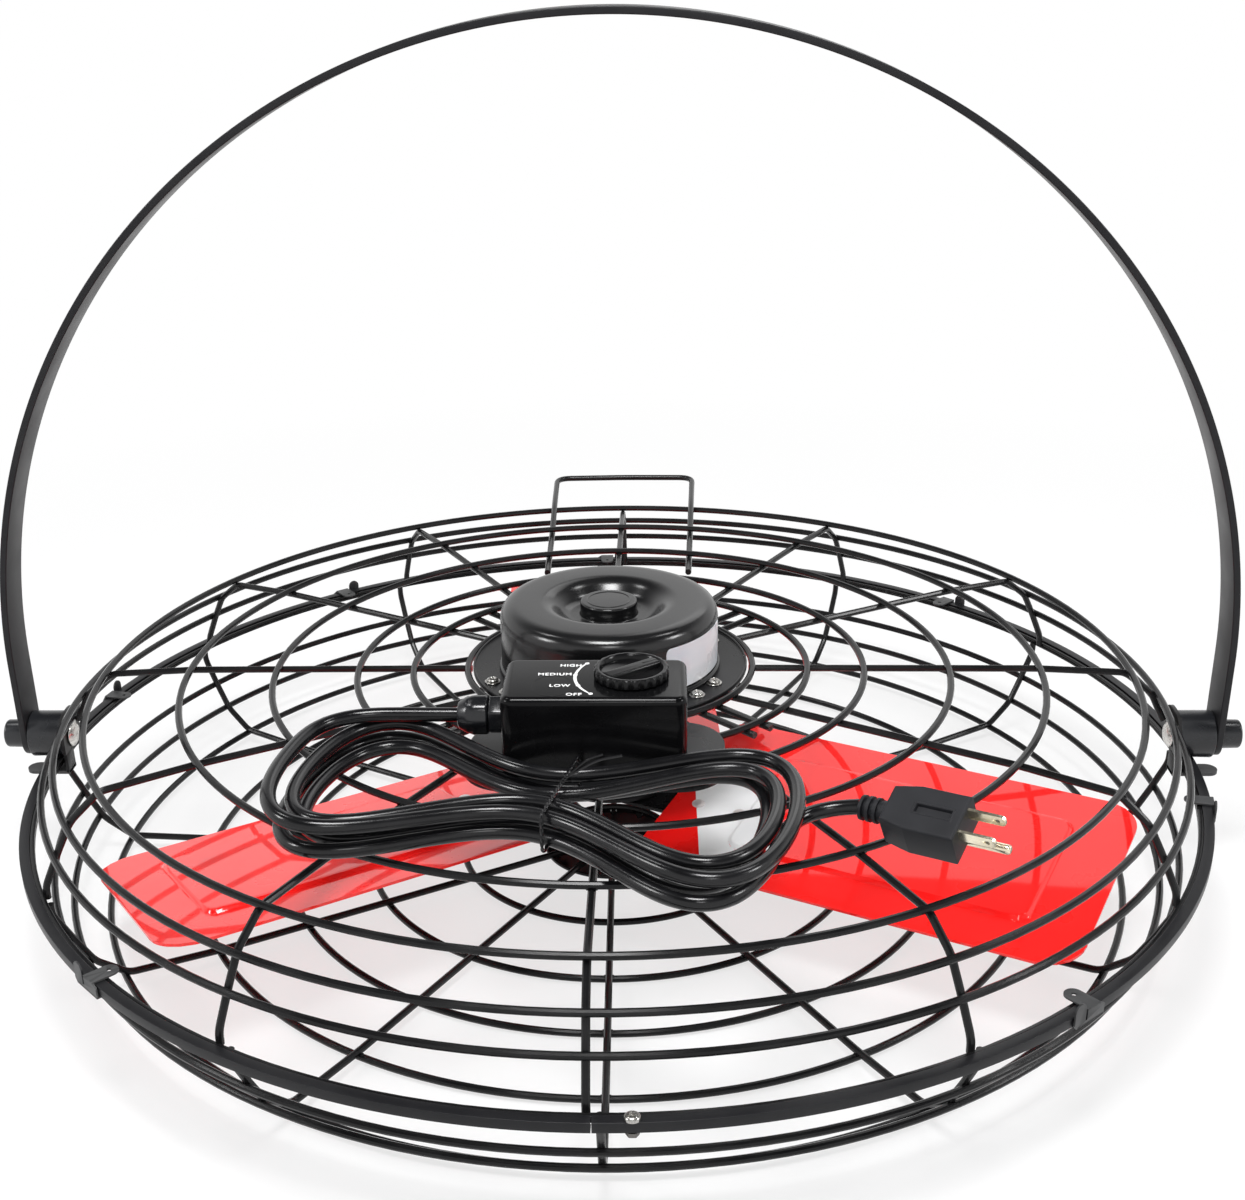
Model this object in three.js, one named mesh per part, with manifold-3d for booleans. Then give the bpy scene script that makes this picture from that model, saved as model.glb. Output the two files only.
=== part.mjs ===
// A barn fan in a wire basket, resting on its front guard with the motor up and the hanging bail upright.
// Millimetres, +Z up, X along the bail pivots and the control box towards -Y.
// The origin is on the floor at the fan's axis.
import * as THREE from "three";
import { mergeVertices } from "three/addons/utils/BufferGeometryUtils.js";
import Module from "manifold-3d";

const wasm = await Module();
wasm.setup();

// Clearances
const GAP = 0.3;
const WELD = 0.5;
const MERGE = 1e-4;
const TIDY = 0.01;
const CUT = 1;

// Radius of the clamp band, which rings, handle, pivots, bail and blades follow
const bandR = 343;

// Wire of the guards
const wire = 2;
const wireSides = 4;
const wireWeld = 0.8;
const weldOffset = 2 * wire - wireWeld;
const ribCount = 12;
const frontTurn = THREE.MathUtils.degToRad(1);

// Basket: each ring has its radius, its height over the mid plane and the side on which its ribs lie
const guardHalf = 60.6;
const midZ = guardHalf + wire;
const ringIn7 = 15;
const ringIn6 = 23.5;
const ringIn5 = 41.7;
const ring4Share = 0.726;
const ring3Share = 0.5738;
const ring2Share = 0.4315;
const ringR7 = bandR - ringIn7;
const ringR6 = bandR - ringIn6;
const ringR5 = bandR - ringIn5;
const ringR4 = bandR * ring4Share;
const ringR3 = bandR * ring3Share;
const ringR2 = bandR * ring2Share;
const rearInnerR = 115.4;
const frontInnerR = 91.6;
const ringH7 = 25.2;
const ringH6 = 40.9;
const ringH5 = 56.8;
const ringH4 = 59.8;
const motorRingR = 83.5;
const hubRingR = 34;
const rimWide = 2.8;
const rimIn = 5.4;
const rimOuterR = bandR - rimIn;
const rimInnerR = rimOuterR - rimWide;
const rimRise = 1.65;
const ribEndR = rimInnerR + wireWeld - wire;
const ribEndH = 0.3;
const ribTurnH = 7;
const pivotRibEndH = 23.6;
const ringSteps = 36;
const smallRingSteps = 24;
const smallRingR = (ringR6 + ringR7) / 2;
const downTurn = -Math.PI / 2;
const cornerTurn = -(Math.PI * 2) / 3;
const inTurn = Math.PI;

// Short wires that carry the motor plate, and the wire under the switch box
const stubFromR = 62;
const stubToR = 121;
const stubHalfSpread = 6.4;
const stubTurn = Math.PI / 4;
const boxWireY = -113;
const boxWireHalf = 75;

// Clamp band round the rims of both guards
const bandDeep = 5.5;
const bandInnerR = bandR - bandDeep;
const bandHalf = 2.65;
const bandWall = 0.6;
const clampTurn = THREE.MathUtils.degToRad(-86.7);
const clampIn = 2.6;
const clampR = bandR - clampIn;
const clampShank = 1.4;
const clampHead = 3.6;
const clampHeadRise = 2.4;
const clampNutR = 3.2;
const clampNutRise = 2.2;
const nutSides = 6;
const slotWide = 1.2;
const slotTurn = THREE.MathUtils.degToRad(-89.6);

// Clips over the band
const clipTurns = [45.5, 92, 128, 166, 225, 311, 349].map((a) => THREE.MathUtils.degToRad(a));
const clipHalf = 10;
const clipSheet = 0.9;
const clipTabSide = 2.2;
const clipTabWide = 9.4;
const clipTabLong = 16;
const clipHole = 1.2;
const clipFinger = -4.6;
const clipFingerRise = 1.6;
const clipNotch = 5;
const clipLip = 4;

// Front centre plate
const plateR = 42;
const plateRise = 2.7;
const plateSheet = 1.5;
const plateLip = 1.6;
const plateSteps = 24;

// Carrying handle behind r4
const handleWire = 2.1;
const handleLegHalf = 48;
const handleTopHalf = 53;
const handleStartY = 164;
const handleBendIn = 3;
const handleRimIn = 3.3;
const handleReach = 15;
const handleBendY = ringR4 - handleBendIn;
const handleRimY = ringR5 - handleRimIn;
const handleEndY = bandR + handleReach;
const handleCorner = 10;
const handleCornerSteps = 4;
const handleSides = 6;
const handleBow = 1.6;
const handleRise = 1.7;

// Bail
const bailRoom = 12.5;
const bailR = bandR + bailRoom;
const bailThick = 4;
const bailWide = 25;
const bailZ = 125.5;
const bailSteps = 36;

// Pivots of the bail
const pivotZ = 77;
const bracketX = ringR7 + wire + GAP;
const bracketSheet = 2;
const bracketEdge = 1;
const bracketRoundShare = 0.8;
const bracketWide = 28;
const bracketTop = 93;
const bracketLow = 68.2;
const strapNear = 1;
const strapWide = 12;
const tabZ = 57.55;
const tabOut = 11;
const tabReach = bandR + tabOut;
const spacerR = 14;
const spacerEnd = bailR - bailThick / 2 - GAP;
const boltR = 4;
const boltHeadR = 8;
const boltHeadRise = 3.4;
const boltEdge = 1.4;
const knobInnerX = bailR + bailThick / 2 + GAP;
const knobRise = 12;
const knobR = 8.6;
const knobEdge = 1.4;
const boltInKnob = 6.2;
const boltEndX = knobInnerX + boltInKnob;
const roundSteps = 24;

// Motor
const discIn = 1.1;
const discR = motorRingR - wire - discIn;
const discHoleR = 57.3;
const discZ = 122.5;
const discSheet = 1.6;
const motorSteps = 28;
const innerSteps = 16;
const caseR = 63.3;
const caseWall = 2;
const caseTop = 163.7;
const caseRound = 8;
const dishR = 36;
const dishFloorR = 25;
const dishDeep = 9;
const bossR = 16.5;
const seatR = 13.3;
const shaftR = 5;
const shaftLow = 41;
const bellR = 57;
const bellLow = 97;
const bellRound = 10;
const statorR = 54.4;
const statorLow = 113;
const statorTop = 143;
const boreR = 32.8;
const rotorR = 31.2;
const screwSides = 8;
const headEdgeShare = 0.4;

// Propeller
const bladeTurn = THREE.MathUtils.degToRad(-27);
const bladeCount = 3;
const bladePitch = THREE.MathUtils.degToRad(9.1);
const bladeZ = 52;
const bladeIn = 50;
const bladeClear = 44;
const bladeOut = bandR - bladeClear;
const bladeWide = 143;
const bladeSheet = 1.6;
const bladeTipRound = 22;
const bladeRootRound = 12;
const panelIn = 96;
const panelEndIn = 31;
const panelOut = bladeOut - panelEndIn;
const panelWide = 92;
const panelRise = 2.2;
const panelRound = 9;
const rivetTurnsR = [66, 92];
const rivetHalf = 15;
const rivetR = 3.6;
const rivetRise = 1.4;
const rivetSides = 6;
const armOut = 108;
const armWide = 52;
const armSheet = 2.4;
const armRound = 14;
const hubR = 12;
const hubLow = 43;
const hubTop = 68;
const hubDiscR = 40;

// Switch box
const trayLowX = -70;
const trayHighX = 64;
const trayNearY = -166;
const trayFarY = -91;
const trayRound = 24;
const trayZ = 125.6;
const trayRise = 3.4;
const traySheet = 1.4;
const boxLowX = -49;
const boxHighX = 44;
const boxNearY = -156.5;
const boxFarY = -105;
const boxTop = 172;
const boxRound = 6;
const boxEdge = 3;
const boxWall = 1.5;
const dialX = 16;
const dialY = -129;
const dialHole = 4.9;
const dialKnobR = 19.1;
const dialFlute = 0.7;
const dialFlutes = 20;
const dialKnobRise = 5;
const dialLift = 0.8;
const dialDishR = 16.2;
const dialDishDeep = 3.4;
const dialBarWide = 8;
const dialGripTurn = THREE.MathUtils.degToRad(38);
const stemR = 2.5;
const stemLow = 152;
const stemInto = 3;
const switchHalf = 14;
const switchRound = 2;
const switchLow = 138;
const switchTop = 160;
const neckR = 4.5;
const neckTop = 172.3;
const capLowX = -40;
const capHighX = -4;
const capLowY = -143;
const capHighY = -121;
const capTop = 156;
const capRound = 8;
const glandY = -130.5;
const glandZ = 151.5;
const glandThreadR = 7;
const glandHexR = 10.4;
const glandHexSides = 6;
const glandNutSides = 8;
const glandNutEdge = 1;
const glandFlange = 7.5;
const glandInside = 7;
const glandNutLong = 16;
const glandNoseR = 6.6;

// Cord, hank and plug
const cordR = 3.8;
const cordSides = 8;
const cordStep = 1.1;
const hankX = -27;
const hankY = -198;
const hankTurn = THREE.MathUtils.degToRad(-13);
const hankLong = 127;
const hankSwell = 128;
const hankWaist = 24.5;
const hankStepEnd = 8.6;
const hankStepSwell = 12;
const hankStepWaist = 11.9;
const hankDrawn = 14;
const hankLoops = 3.5;
const hankSwellShare = 1.7;
const hankLow = 133.2;
const hankLayer = 10.4;
const hankLift = 8.1;
const hankSides = 6;
const hankPerLoop = 24;
const hankFine = 240;
const cordMiddle = [
  [-99, -130.5, 151.7],
  [-117.5, -130.5, 151.7],
  [-127.6, -132.2, 151.7],
  [-136.6, -137.2, 151.7],
  [-143.4, -144.8, 151.7],
];
const plugTurn = THREE.MathUtils.degToRad(-32);
const plugRise = THREE.MathUtils.degToRad(3);
const plugRoll = THREE.MathUtils.degToRad(58);
const tailR = 22.4;
const tailSteps = 5;
const tailStraight = 2;
const tailEndZ = 138.6;
const tailFlatShare = 0.45;
const reliefLong = 15;
const reliefR = 6;
const reliefNeckR = 4.6;
const reliefRings = 3;
const plugLong = 37;
const plugBackHalf = 10;
const plugHalf = 13;
const plugThickHalf = 9.5;
const plugWaist = 9;
const bladePinLong = 17.5;
const bladePinWide = 6.3;
const bladePinRound = 1.4;
const bladePinThick = 1.5;
const bladePinSpread = 12.7;
const bladePinHole = 1.6;
const groundPinLong = 20.5;
const groundPinR = 2.4;
const groundPinDrop = 11.9;
const pinRise = 5;
const pinSides = 10;
const pinHoleShare = 0.78;
const tieWire = 0.8;
const tieSides = 5;
const tieKnot = 1.4;
const tieBow = 1;
const tieKnotLong = 9;
const tieTails = [
  [16, 12, 22],
  [30, 6, 20],
];

const COLOURS = {
  wire: [0x141517, 0.34, 0.35],
  painted: [0x17181a, 0.42, 0.3],
  grey: [0x35373a, 0.45, 0.4],
  red: [0xd81f1b, 0.22, 0.1],
  steel: [0xb9b9b6, 0.3, 0.95],
  brass: [0xc9b27a, 0.28, 0.95],
  black: [0x0e0e10, 0.3, 0.05],
  rubber: [0x121214, 0.5, 0],
  plug: [0x1b1c20, 0.62, 0],
};

// A closed geometry as a solid that faces out, with collapsed faces dropped.
function solid(geometry) {
  const flat = geometry.index ? geometry.toNonIndexed() : geometry;
  const bare = new THREE.BufferGeometry().setAttribute("position", flat.getAttribute("position"));
  const merged = mergeVertices(bare, MERGE);
  const index = merged.index.array;
  const faces = [];
  for (let i = 0; i < index.length; i += 3) {
    const [a, b, c] = [index[i], index[i + 1], index[i + 2]];
    if (a !== b && b !== c && a !== c) faces.push(a, b, c);
  }
  const build = (list) =>
    new wasm.Manifold(
      new wasm.Mesh({
        numProp: 3,
        vertProperties: merged.attributes.position.array,
        triVerts: new Uint32Array(list),
      }),
    );
  const made = build(faces);
  if (made.volume() >= 0) return made;
  for (let i = 0; i < faces.length; i += 3) [faces[i + 1], faces[i + 2]] = [faces[i + 2], faces[i + 1]];
  return build(faces);
}

const join = (pieces) => pieces.reduce((a, b) => a.add(b));
const polar = (r, a) => [r * Math.cos(a), r * Math.sin(a)];
const placed = (geometry, ...matrices) => {
  matrices.forEach((m) => geometry.applyMatrix4(m));
  return geometry;
};
const moved = (x, y, z) => new THREE.Matrix4().makeTranslation(x, y, z);
const turnedX = (a) => new THREE.Matrix4().makeRotationX(a);
const turnedY = (a) => new THREE.Matrix4().makeRotationY(a);
const turnedZ = (a) => new THREE.Matrix4().makeRotationZ(a);

// A turned shape from a list of [radius, height], closed on itself when it doesn't reach the axis.
function turned(profile, steps, phase = 0) {
  const points = profile.map(([r, z]) => new THREE.Vector2(r, z));
  const open = profile[0][0] === 0 && profile[profile.length - 1][0] === 0;
  if (!open) points.push(points[0].clone());
  return new THREE.LatheGeometry(points, steps, phase).rotateX(Math.PI / 2);
}

// A flat outline pushed up from z by rise, with round or cut holes.
function plate(outline, z, rise, holes = []) {
  const shape = new THREE.Shape(outline.map(([x, y]) => new THREE.Vector2(x, y)));
  holes.forEach((h) => shape.holes.push(new THREE.Path(h.map(([x, y]) => new THREE.Vector2(x, y)))));
  return new THREE.ExtrudeGeometry(shape, { depth: rise, bevelEnabled: false }).translate(0, 0, z);
}

// Points of a circle.
function circle(x, y, r, steps, phase = 0) {
  return Array.from({ length: steps }, (_, i) => {
    const [dx, dy] = polar(r, phase + (i / steps) * Math.PI * 2);
    return [x + dx, y + dy];
  });
}

// Points of a rectangle with its own radius and steps at each corner, counted from the low left one.
function rounded(x0, y0, x1, y1, radii, steps = 4) {
  const r = Array.isArray(radii) ? radii : [radii, radii, radii, radii];
  const corners = [
    [x0 + r[0], y0 + r[0], r[0]],
    [x1 - r[1], y0 + r[1], r[1]],
    [x1 - r[2], y1 - r[2], r[2]],
    [x0 + r[3], y1 - r[3], r[3]],
  ];
  return corners.flatMap(([x, y, radius], k) =>
    Array.from({ length: steps + 1 }, (_, i) => {
      const [dx, dy] = polar(radius, Math.PI + (k + i / steps) * (Math.PI / 2));
      return [x + dx, y + dy];
    }),
  );
}

// A polygon of the given sides swept along points, its first corner turned from the start normal.
function swept(points, radius, sides, normal, turn = 0, loop = false) {
  const p = points.map((q) => (q.isVector3 ? q.clone() : new THREE.Vector3(...q)));
  const n = p.length;
  const tangent = p.map((q, i) => {
    const a = loop ? p[(i + n - 1) % n] : p[Math.max(i - 1, 0)];
    const b = loop ? p[(i + 1) % n] : p[Math.min(i + 1, n - 1)];
    return b.clone().sub(a).normalize();
  });
  const up = [normal.clone().addScaledVector(tangent[0], -normal.dot(tangent[0])).normalize()];
  for (let i = 1; i < n; i += 1) {
    const q = new THREE.Quaternion().setFromUnitVectors(tangent[i - 1], tangent[i]);
    up.push(up[i - 1].clone().applyQuaternion(q));
  }
  const corner = (i, k) => {
    const a = turn + (k / sides) * Math.PI * 2;
    const side = tangent[i].clone().cross(up[i]);
    const [out, along] = polar(radius, a);
    return p[i].clone().addScaledVector(up[i], out).addScaledVector(side, along);
  };
  const faces = [];
  const rings = p.map((_, i) => Array.from({ length: sides }, (_, k) => corner(i, k)));
  const quad = (a, b, c, d) => faces.push(a, b, c, a, c, d);
  const spans = loop ? n : n - 1;
  for (let i = 0; i < spans; i += 1) {
    const j = (i + 1) % n;
    for (let k = 0; k < sides; k += 1) {
      const m = (k + 1) % sides;
      quad(rings[i][k], rings[j][k], rings[j][m], rings[i][m]);
    }
  }
  if (!loop)
    for (let k = 1; k < sides - 1; k += 1) {
      faces.push(rings[0][0], rings[0][k], rings[0][k + 1]);
      faces.push(rings[n - 1][0], rings[n - 1][k + 1], rings[n - 1][k]);
    }
  return new THREE.BufferGeometry().setFromPoints(faces);
}

// A ring of wire whose first corner points the given way in the radial plane.
function wireRing(r, h, facing, up) {
  const steps = r < smallRingR ? smallRingSteps : ringSteps;
  const half = Math.PI / steps;
  const profile = Array.from({ length: wireSides }, (_, k) => {
    const a = facing + (k / wireSides) * Math.PI * 2;
    return [(r + wire * Math.cos(a)) / Math.cos(half), midZ + up * (h + wire * Math.sin(a))];
  });
  return solid(turned(profile, steps, half));
}

// The flat rim strip that lies in the clamp band.
function rimRing(up) {
  const half = Math.PI / smallRingSteps;
  const low = GAP / 2;
  const profile = [
    [rimInnerR, low],
    [rimOuterR, low],
    [rimOuterR, low + rimRise],
    [rimInnerR, low + rimRise],
  ].map(([r, h]) => [r / Math.cos(half), midZ + up * h]);
  return solid(turned(profile, smallRingSteps, half));
}

// The height over the mid plane of the flat rings, which sink a little from the middle to r4.
const flatH = (r) => guardHalf + ((ringH4 - guardHalf) * (r - hubRingR)) / (ringR4 - hubRingR);

// The run of a rib in radius and height over the mid plane, from the middle to the rim.
function ribRun(fromR, pivot) {
  const run = [
    [fromR, flatH(fromR) - weldOffset],
    [ringR4, ringH4 - weldOffset],
    [ringR5 + weldOffset * Math.cos(cornerTurn), ringH5 + weldOffset * Math.sin(cornerTurn)],
    [ringR6 - weldOffset, ringH6],
  ];
  if (pivot) return [...run, [ringR7 - weldOffset, pivotRibEndH]];
  return [...run, [ringR7 - weldOffset, ringH7], [ribEndR, ribTurnH], [ribEndR, ribEndH]];
}

function rib(run, angle, up) {
  const [c, s] = polar(1, angle);
  const points = run.map(([r, h]) => [r * c, r * s, midZ + up * h]);
  return solid(swept(points, wire, wireSides, new THREE.Vector3(0, 0, up)));
}

// Rings shared by both guards, with the inner ring of each.
function guardRings(up, innerR) {
  return [
    wireRing(ringR7, ringH7, inTurn, up),
    wireRing(ringR6, ringH6, inTurn, up),
    wireRing(ringR5, ringH5, cornerTurn, up),
    wireRing(ringR4, ringH4, downTurn, up),
    wireRing(ringR3, flatH(ringR3), downTurn, up),
    wireRing(ringR2, flatH(ringR2), downTurn, up),
    wireRing(innerR, flatH(innerR), downTurn, up),
    rimRing(up),
  ];
}

// A straight wire at rib height between two points of the plan.
function straightWire(a, b) {
  const z = midZ + flatH(motorRingR) - weldOffset;
  const points = [
    [...a, z],
    [...b, z],
  ];
  return solid(swept(points, wire, wireSides, new THREE.Vector3(0, 0, 1)));
}

function rearGuard() {
  const ribs = Array.from({ length: ribCount }, (_, i) => {
    const pivot = i % (ribCount / 2) === 0;
    return rib(ribRun(motorRingR - wire, pivot), (i / ribCount) * Math.PI * 2, 1);
  });
  const stubs = [0, 1, 2, 3].flatMap((k) =>
    [-stubHalfSpread, stubHalfSpread].map((off) => {
      const a = stubTurn + (k * Math.PI) / 2;
      const [c, s] = polar(1, a);
      const at = (r) => [r * c - off * s, r * s + off * c];
      return straightWire(at(stubFromR), at(stubToR));
    }),
  );
  const carrier = straightWire([-boxWireHalf, boxWireY], [boxWireHalf, boxWireY]);
  const rings = [...guardRings(1, rearInnerR), wireRing(motorRingR, flatH(motorRingR), downTurn, 1)];
  return join([...rings, ...ribs, ...stubs, carrier]);
}

function frontGuard() {
  const ribs = Array.from({ length: ribCount }, (_, i) =>
    rib(ribRun(hubRingR - wire, false), frontTurn + (i / ribCount) * Math.PI * 2, -1),
  );
  const hub = wireRing(hubRingR, guardHalf - 2 * weldOffset, -downTurn, -1);
  return join([...guardRings(-1, frontInnerR), hub, ...ribs]);
}

function centrePlate() {
  const profile = [
    [0, 0],
    [plateR - plateLip, 0],
    [plateR, plateLip / 2],
    [plateR, plateRise],
    [plateR - plateSheet, plateRise],
    [plateR - plateLip - plateSheet / 2, plateSheet],
    [0, plateSheet],
  ];
  return solid(turned(profile, plateSteps));
}

// A short round bar along Z.
function rod(x, y, z, r, rise, steps = roundSteps) {
  return solid(plate(circle(x, y, r, steps), z, rise));
}

// The band is a channel open towards the middle, with one narrow slot and a clamp screw beside it.
function clampBand() {
  const [inner, outer, web] = [bandInnerR, bandR, bandR - bandWall];
  const lip = bandHalf - bandWall;
  const profile = [
    [inner, -bandHalf],
    [outer, -bandHalf],
    [outer, bandHalf],
    [inner, bandHalf],
    [inner, lip],
    [web, lip],
    [web, -lip],
    [inner, -lip],
  ].map(([r, h]) => [r, midZ + h]);
  const ring = solid(turned(profile, ringSteps, Math.PI / ringSteps));
  const cutOutline = rounded(inner - CUT, -slotWide / 2, outer + CUT, slotWide / 2, slotWide / 4, 1);
  const slot = solid(placed(plate(cutOutline, 0, 2 * midZ), turnedZ(slotTurn)));
  const [x, y] = polar(clampR, clampTurn);
  const hole = rod(x, y, 0, clampShank + GAP, 2 * midZ, screwSides);
  return ring.subtract(slot).subtract(hole);
}

// A pan head over a shank, standing on z.
function screw(x, y, z, headR, headRise, shankR, shankLong) {
  const profile = [
    [0, -shankLong],
    [shankR, -shankLong],
    [shankR, 0],
    [headR, 0],
    [headR, headRise * headEdgeShare],
    [headR - headRise / 2, headRise],
    [0, headRise],
  ];
  return solid(turned(profile, screwSides).translate(x, y, z));
}

function clampScrew() {
  const [x, y] = polar(clampR, clampTurn);
  const z = midZ + bandHalf + GAP;
  return screw(x, y, z, clampHead, clampHeadRise, clampShank, 2 * bandHalf + clampNutRise + 3 * GAP);
}

function clampNut() {
  const [x, y] = polar(clampR, clampTurn);
  const hole = circle(x, y, clampShank + GAP, screwSides);
  const z = midZ - bandHalf - GAP - clampNutRise;
  return solid(plate(circle(x, y, clampNutR, nutSides), z, clampNutRise, [hole]));
}

// A clip of bent sheet: an upright face outside the band, a tab with a hole over it and a lip under it.
function guardClip(angle) {
  const face = bandR + GAP;
  const low = midZ - bandHalf - GAP - clipSheet;
  const high = midZ + bandHalf + GAP + clipSheet;
  const tabLow = clipTabSide - clipTabWide / 2;
  const tabHigh = clipTabSide + clipTabWide / 2;
  const outline = [
    [-clipHalf, low],
    [clipHalf, low],
    [clipHalf, high - 2 * clipSheet],
    [tabHigh, high],
    [tabLow, high],
    [(tabLow + clipFinger) / 2, high - clipNotch],
    [clipFinger, high - clipSheet],
    [clipFinger - clipSheet, high + clipFingerRise],
    [(clipFinger - clipHalf) / 2 - clipSheet, high + clipFingerRise],
    [-clipHalf, high - 2 * clipSheet],
  ];
  const basis = facingX();
  const upright = placed(plate(outline, face, clipSheet), basis);
  const tabR = clipTabWide / 2;
  const end = face + clipSheet - clipTabLong;
  const edge = clipSheet / 4;
  const tabOutline = rounded(end, tabLow, face + clipSheet / 2, tabHigh, [tabR, edge, edge, tabR], 3);
  const hole = circle(end + tabR, clipTabSide, clipHole, nutSides);
  const tab = plate(tabOutline, high - clipSheet, clipSheet, [hole]);
  const lipOutline = rounded(face - clipLip, -clipHalf, face + clipSheet / 2, clipHalf, edge, 1);
  const lip = plate(lipOutline, low, clipSheet);
  return solid(placed(asGeometry(join([solid(upright), solid(tab), solid(lip)])), turnedZ(angle)));
}

// The handle lies under r3 and r4, rises over r5 and reaches past the band.
function tiltHandle() {
  const low = midZ + guardHalf - wire - GAP - handleWire;
  const bend = midZ + ringH4 - wire - GAP - handleWire;
  const rim = midZ + ringH5 + wire + GAP + handleWire;
  const end = rim + handleRise;
  const half = (y) =>
    handleLegHalf + ((y - handleStartY) / (handleEndY - handleStartY)) * (handleTopHalf - handleLegHalf);
  const leg = [
    [half(handleStartY), handleStartY, low],
    [half(handleBendY), handleBendY, bend],
    [half(handleRimY), handleRimY, rim],
  ];
  const corner = Array.from({ length: handleCornerSteps + 1 }, (_, i) => {
    const [dx, dy] = polar(handleCorner, (i / handleCornerSteps) * (Math.PI / 2));
    const y = handleEndY - handleCorner + dy;
    return [handleTopHalf - handleCorner + dx, y, end];
  });
  const right = [...leg, ...corner];
  const left = right.map(([x, y, z]) => [-x, y, z]).reverse();
  const middle = [0, handleEndY + handleBow, end];
  const up = new THREE.Vector3(0, 0, 1);
  return solid(swept([...right, middle, ...left], handleWire, handleSides, up, Math.PI / handleSides));
}

// A solid of the manifold kind as a three.js geometry.
function asGeometry(body) {
  const mesh = body.getMesh();
  const count = mesh.triVerts.length;
  const at = new Float32Array(count * 3);
  for (let i = 0; i < count; i += 1) {
    const v = mesh.triVerts[i] * mesh.numProp;
    at.set(mesh.vertProperties.subarray(v, v + 3), i * 3);
  }
  return new THREE.BufferGeometry().setAttribute("position", new THREE.BufferAttribute(at, 3));
}

// A shape drawn along Z and laid along +X, its middle at the pivot height.
const alongX = (geometry, y = 0, z = 0) => placed(geometry, turnedY(Math.PI / 2), moved(0, y, z));
// Lays a plate drawn in X and Y upright, facing along X.
function facingX() {
  const axes = [new THREE.Vector3(0, 1, 0), new THREE.Vector3(0, 0, 1), new THREE.Vector3(1, 0, 0)];
  return new THREE.Matrix4().makeBasis(...axes);
}

const halfTurn = (body) => solid(placed(asGeometry(body), turnedZ(Math.PI)));

function pivotBracket() {
  const half = bracketWide / 2;
  const top = half * bracketRoundShare;
  const round = [bracketSheet, bracketSheet, top, top];
  const upper = rounded(-half, bracketLow, half, bracketTop, round, 3);
  const hole = circle(0, pivotZ, boltR + GAP, screwSides);
  const basis = facingX();
  const sheet = placed(plate(upper, bracketX, bracketSheet, [hole]), basis);
  const strapLow = -strapNear - strapWide;
  const strapOutline = rounded(strapLow, tabZ - bracketSheet, -strapNear, bracketLow + CUT, bracketEdge, 1);
  const strap = placed(plate(strapOutline, bracketX, bracketSheet), basis);
  const tabR = strapWide / 2;
  const tabRound = [bracketEdge, tabR, tabR, bracketEdge];
  const tabOutline = rounded(bracketX, strapLow, tabReach, -strapNear, tabRound, 3);
  const tab = plate(tabOutline, tabZ - bracketSheet, bracketSheet);
  return join([solid(sheet), solid(strap), solid(tab)]);
}

function pivotSpacer() {
  const from = bracketX + bracketSheet + GAP;
  const tube = solid(alongX(turned([
    [boltR + GAP, from],
    [spacerR, from],
    [spacerR, spacerEnd],
    [boltR + GAP, spacerEnd],
  ], innerSteps), 0, pivotZ));
  const band = solid(turned([
    [bracketX, midZ - bandHalf - 2 * GAP],
    [bandR + 3 * GAP, midZ - bandHalf - 2 * GAP],
    [bandR + 3 * GAP, midZ + bandHalf + 2 * GAP],
    [bracketX, midZ + bandHalf + 2 * GAP],
  ], ringSteps, Math.PI / ringSteps));
  return tube.subtract(band);
}

function pivotBolt() {
  const head = bracketX - GAP;
  return solid(alongX(turned([
    [0, head - boltHeadRise],
    [boltHeadR - boltEdge * 2, head - boltHeadRise],
    [boltHeadR, head - boltEdge],
    [boltHeadR, head],
    [boltR, head],
    [boltR, boltEndX],
    [0, boltEndX],
  ], roundSteps / 2), 0, pivotZ));
}

function pivotKnob() {
  const end = knobInnerX + knobRise;
  const deep = boltEndX + GAP;
  return solid(alongX(turned([
    [0, deep],
    [boltR + GAP, deep],
    [boltR + GAP, knobInnerX],
    [knobR, knobInnerX],
    [knobR, end - knobEdge],
    [knobR - knobEdge, end],
    [0, end],
  ], innerSteps), 0, pivotZ));
}

// The bail is a flat bar bent to an arch, with round ends on the pivots.
function bail() {
  const outer = bailR + bailThick / 2;
  const inner = bailR - bailThick / 2;
  const arc = (r) => Array.from({ length: bailSteps + 1 }, (_, i) => {
    const [x, z] = polar(r, (i / bailSteps) * Math.PI);
    return [x, bailZ + z];
  });
  const outside = [[outer, pivotZ], ...arc(outer), [-outer, pivotZ]];
  const inside = [[-inner, pivotZ], ...arc(inner).reverse(), [inner, pivotZ]];
  const outline = [...outside, ...inside];
  const arch = placed(plate(outline, -bailWide / 2, bailWide), turnedX(Math.PI / 2));
  const end = (side) => {
    const drum = (r, from, to, steps) =>
      alongX(turned([[0, from], [r, from], [r, to], [0, to]], steps), 0, pivotZ);
    const disc = drum(bailWide / 2, inner, outer, roundSteps);
    const hole = drum(boltR + GAP, inner - CUT, outer + CUT, roundSteps / 2);
    return [disc, hole].map((g) => solid(placed(g, turnedZ(side))));
  };
  const [rightDisc, rightHole] = end(0);
  const [leftDisc, leftHole] = end(Math.PI);
  return join([solid(arch), rightDisc, leftDisc]).subtract(rightHole).subtract(leftHole);
}

// The plate that the motor stands on lies inside the motor ring, on the short wires.
function mountPlate() {
  const hole = circle(0, 0, discHoleR, smallRingSteps);
  return solid(plate(circle(0, 0, discR, ringSteps), discZ, discSheet, [hole]));
}

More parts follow.
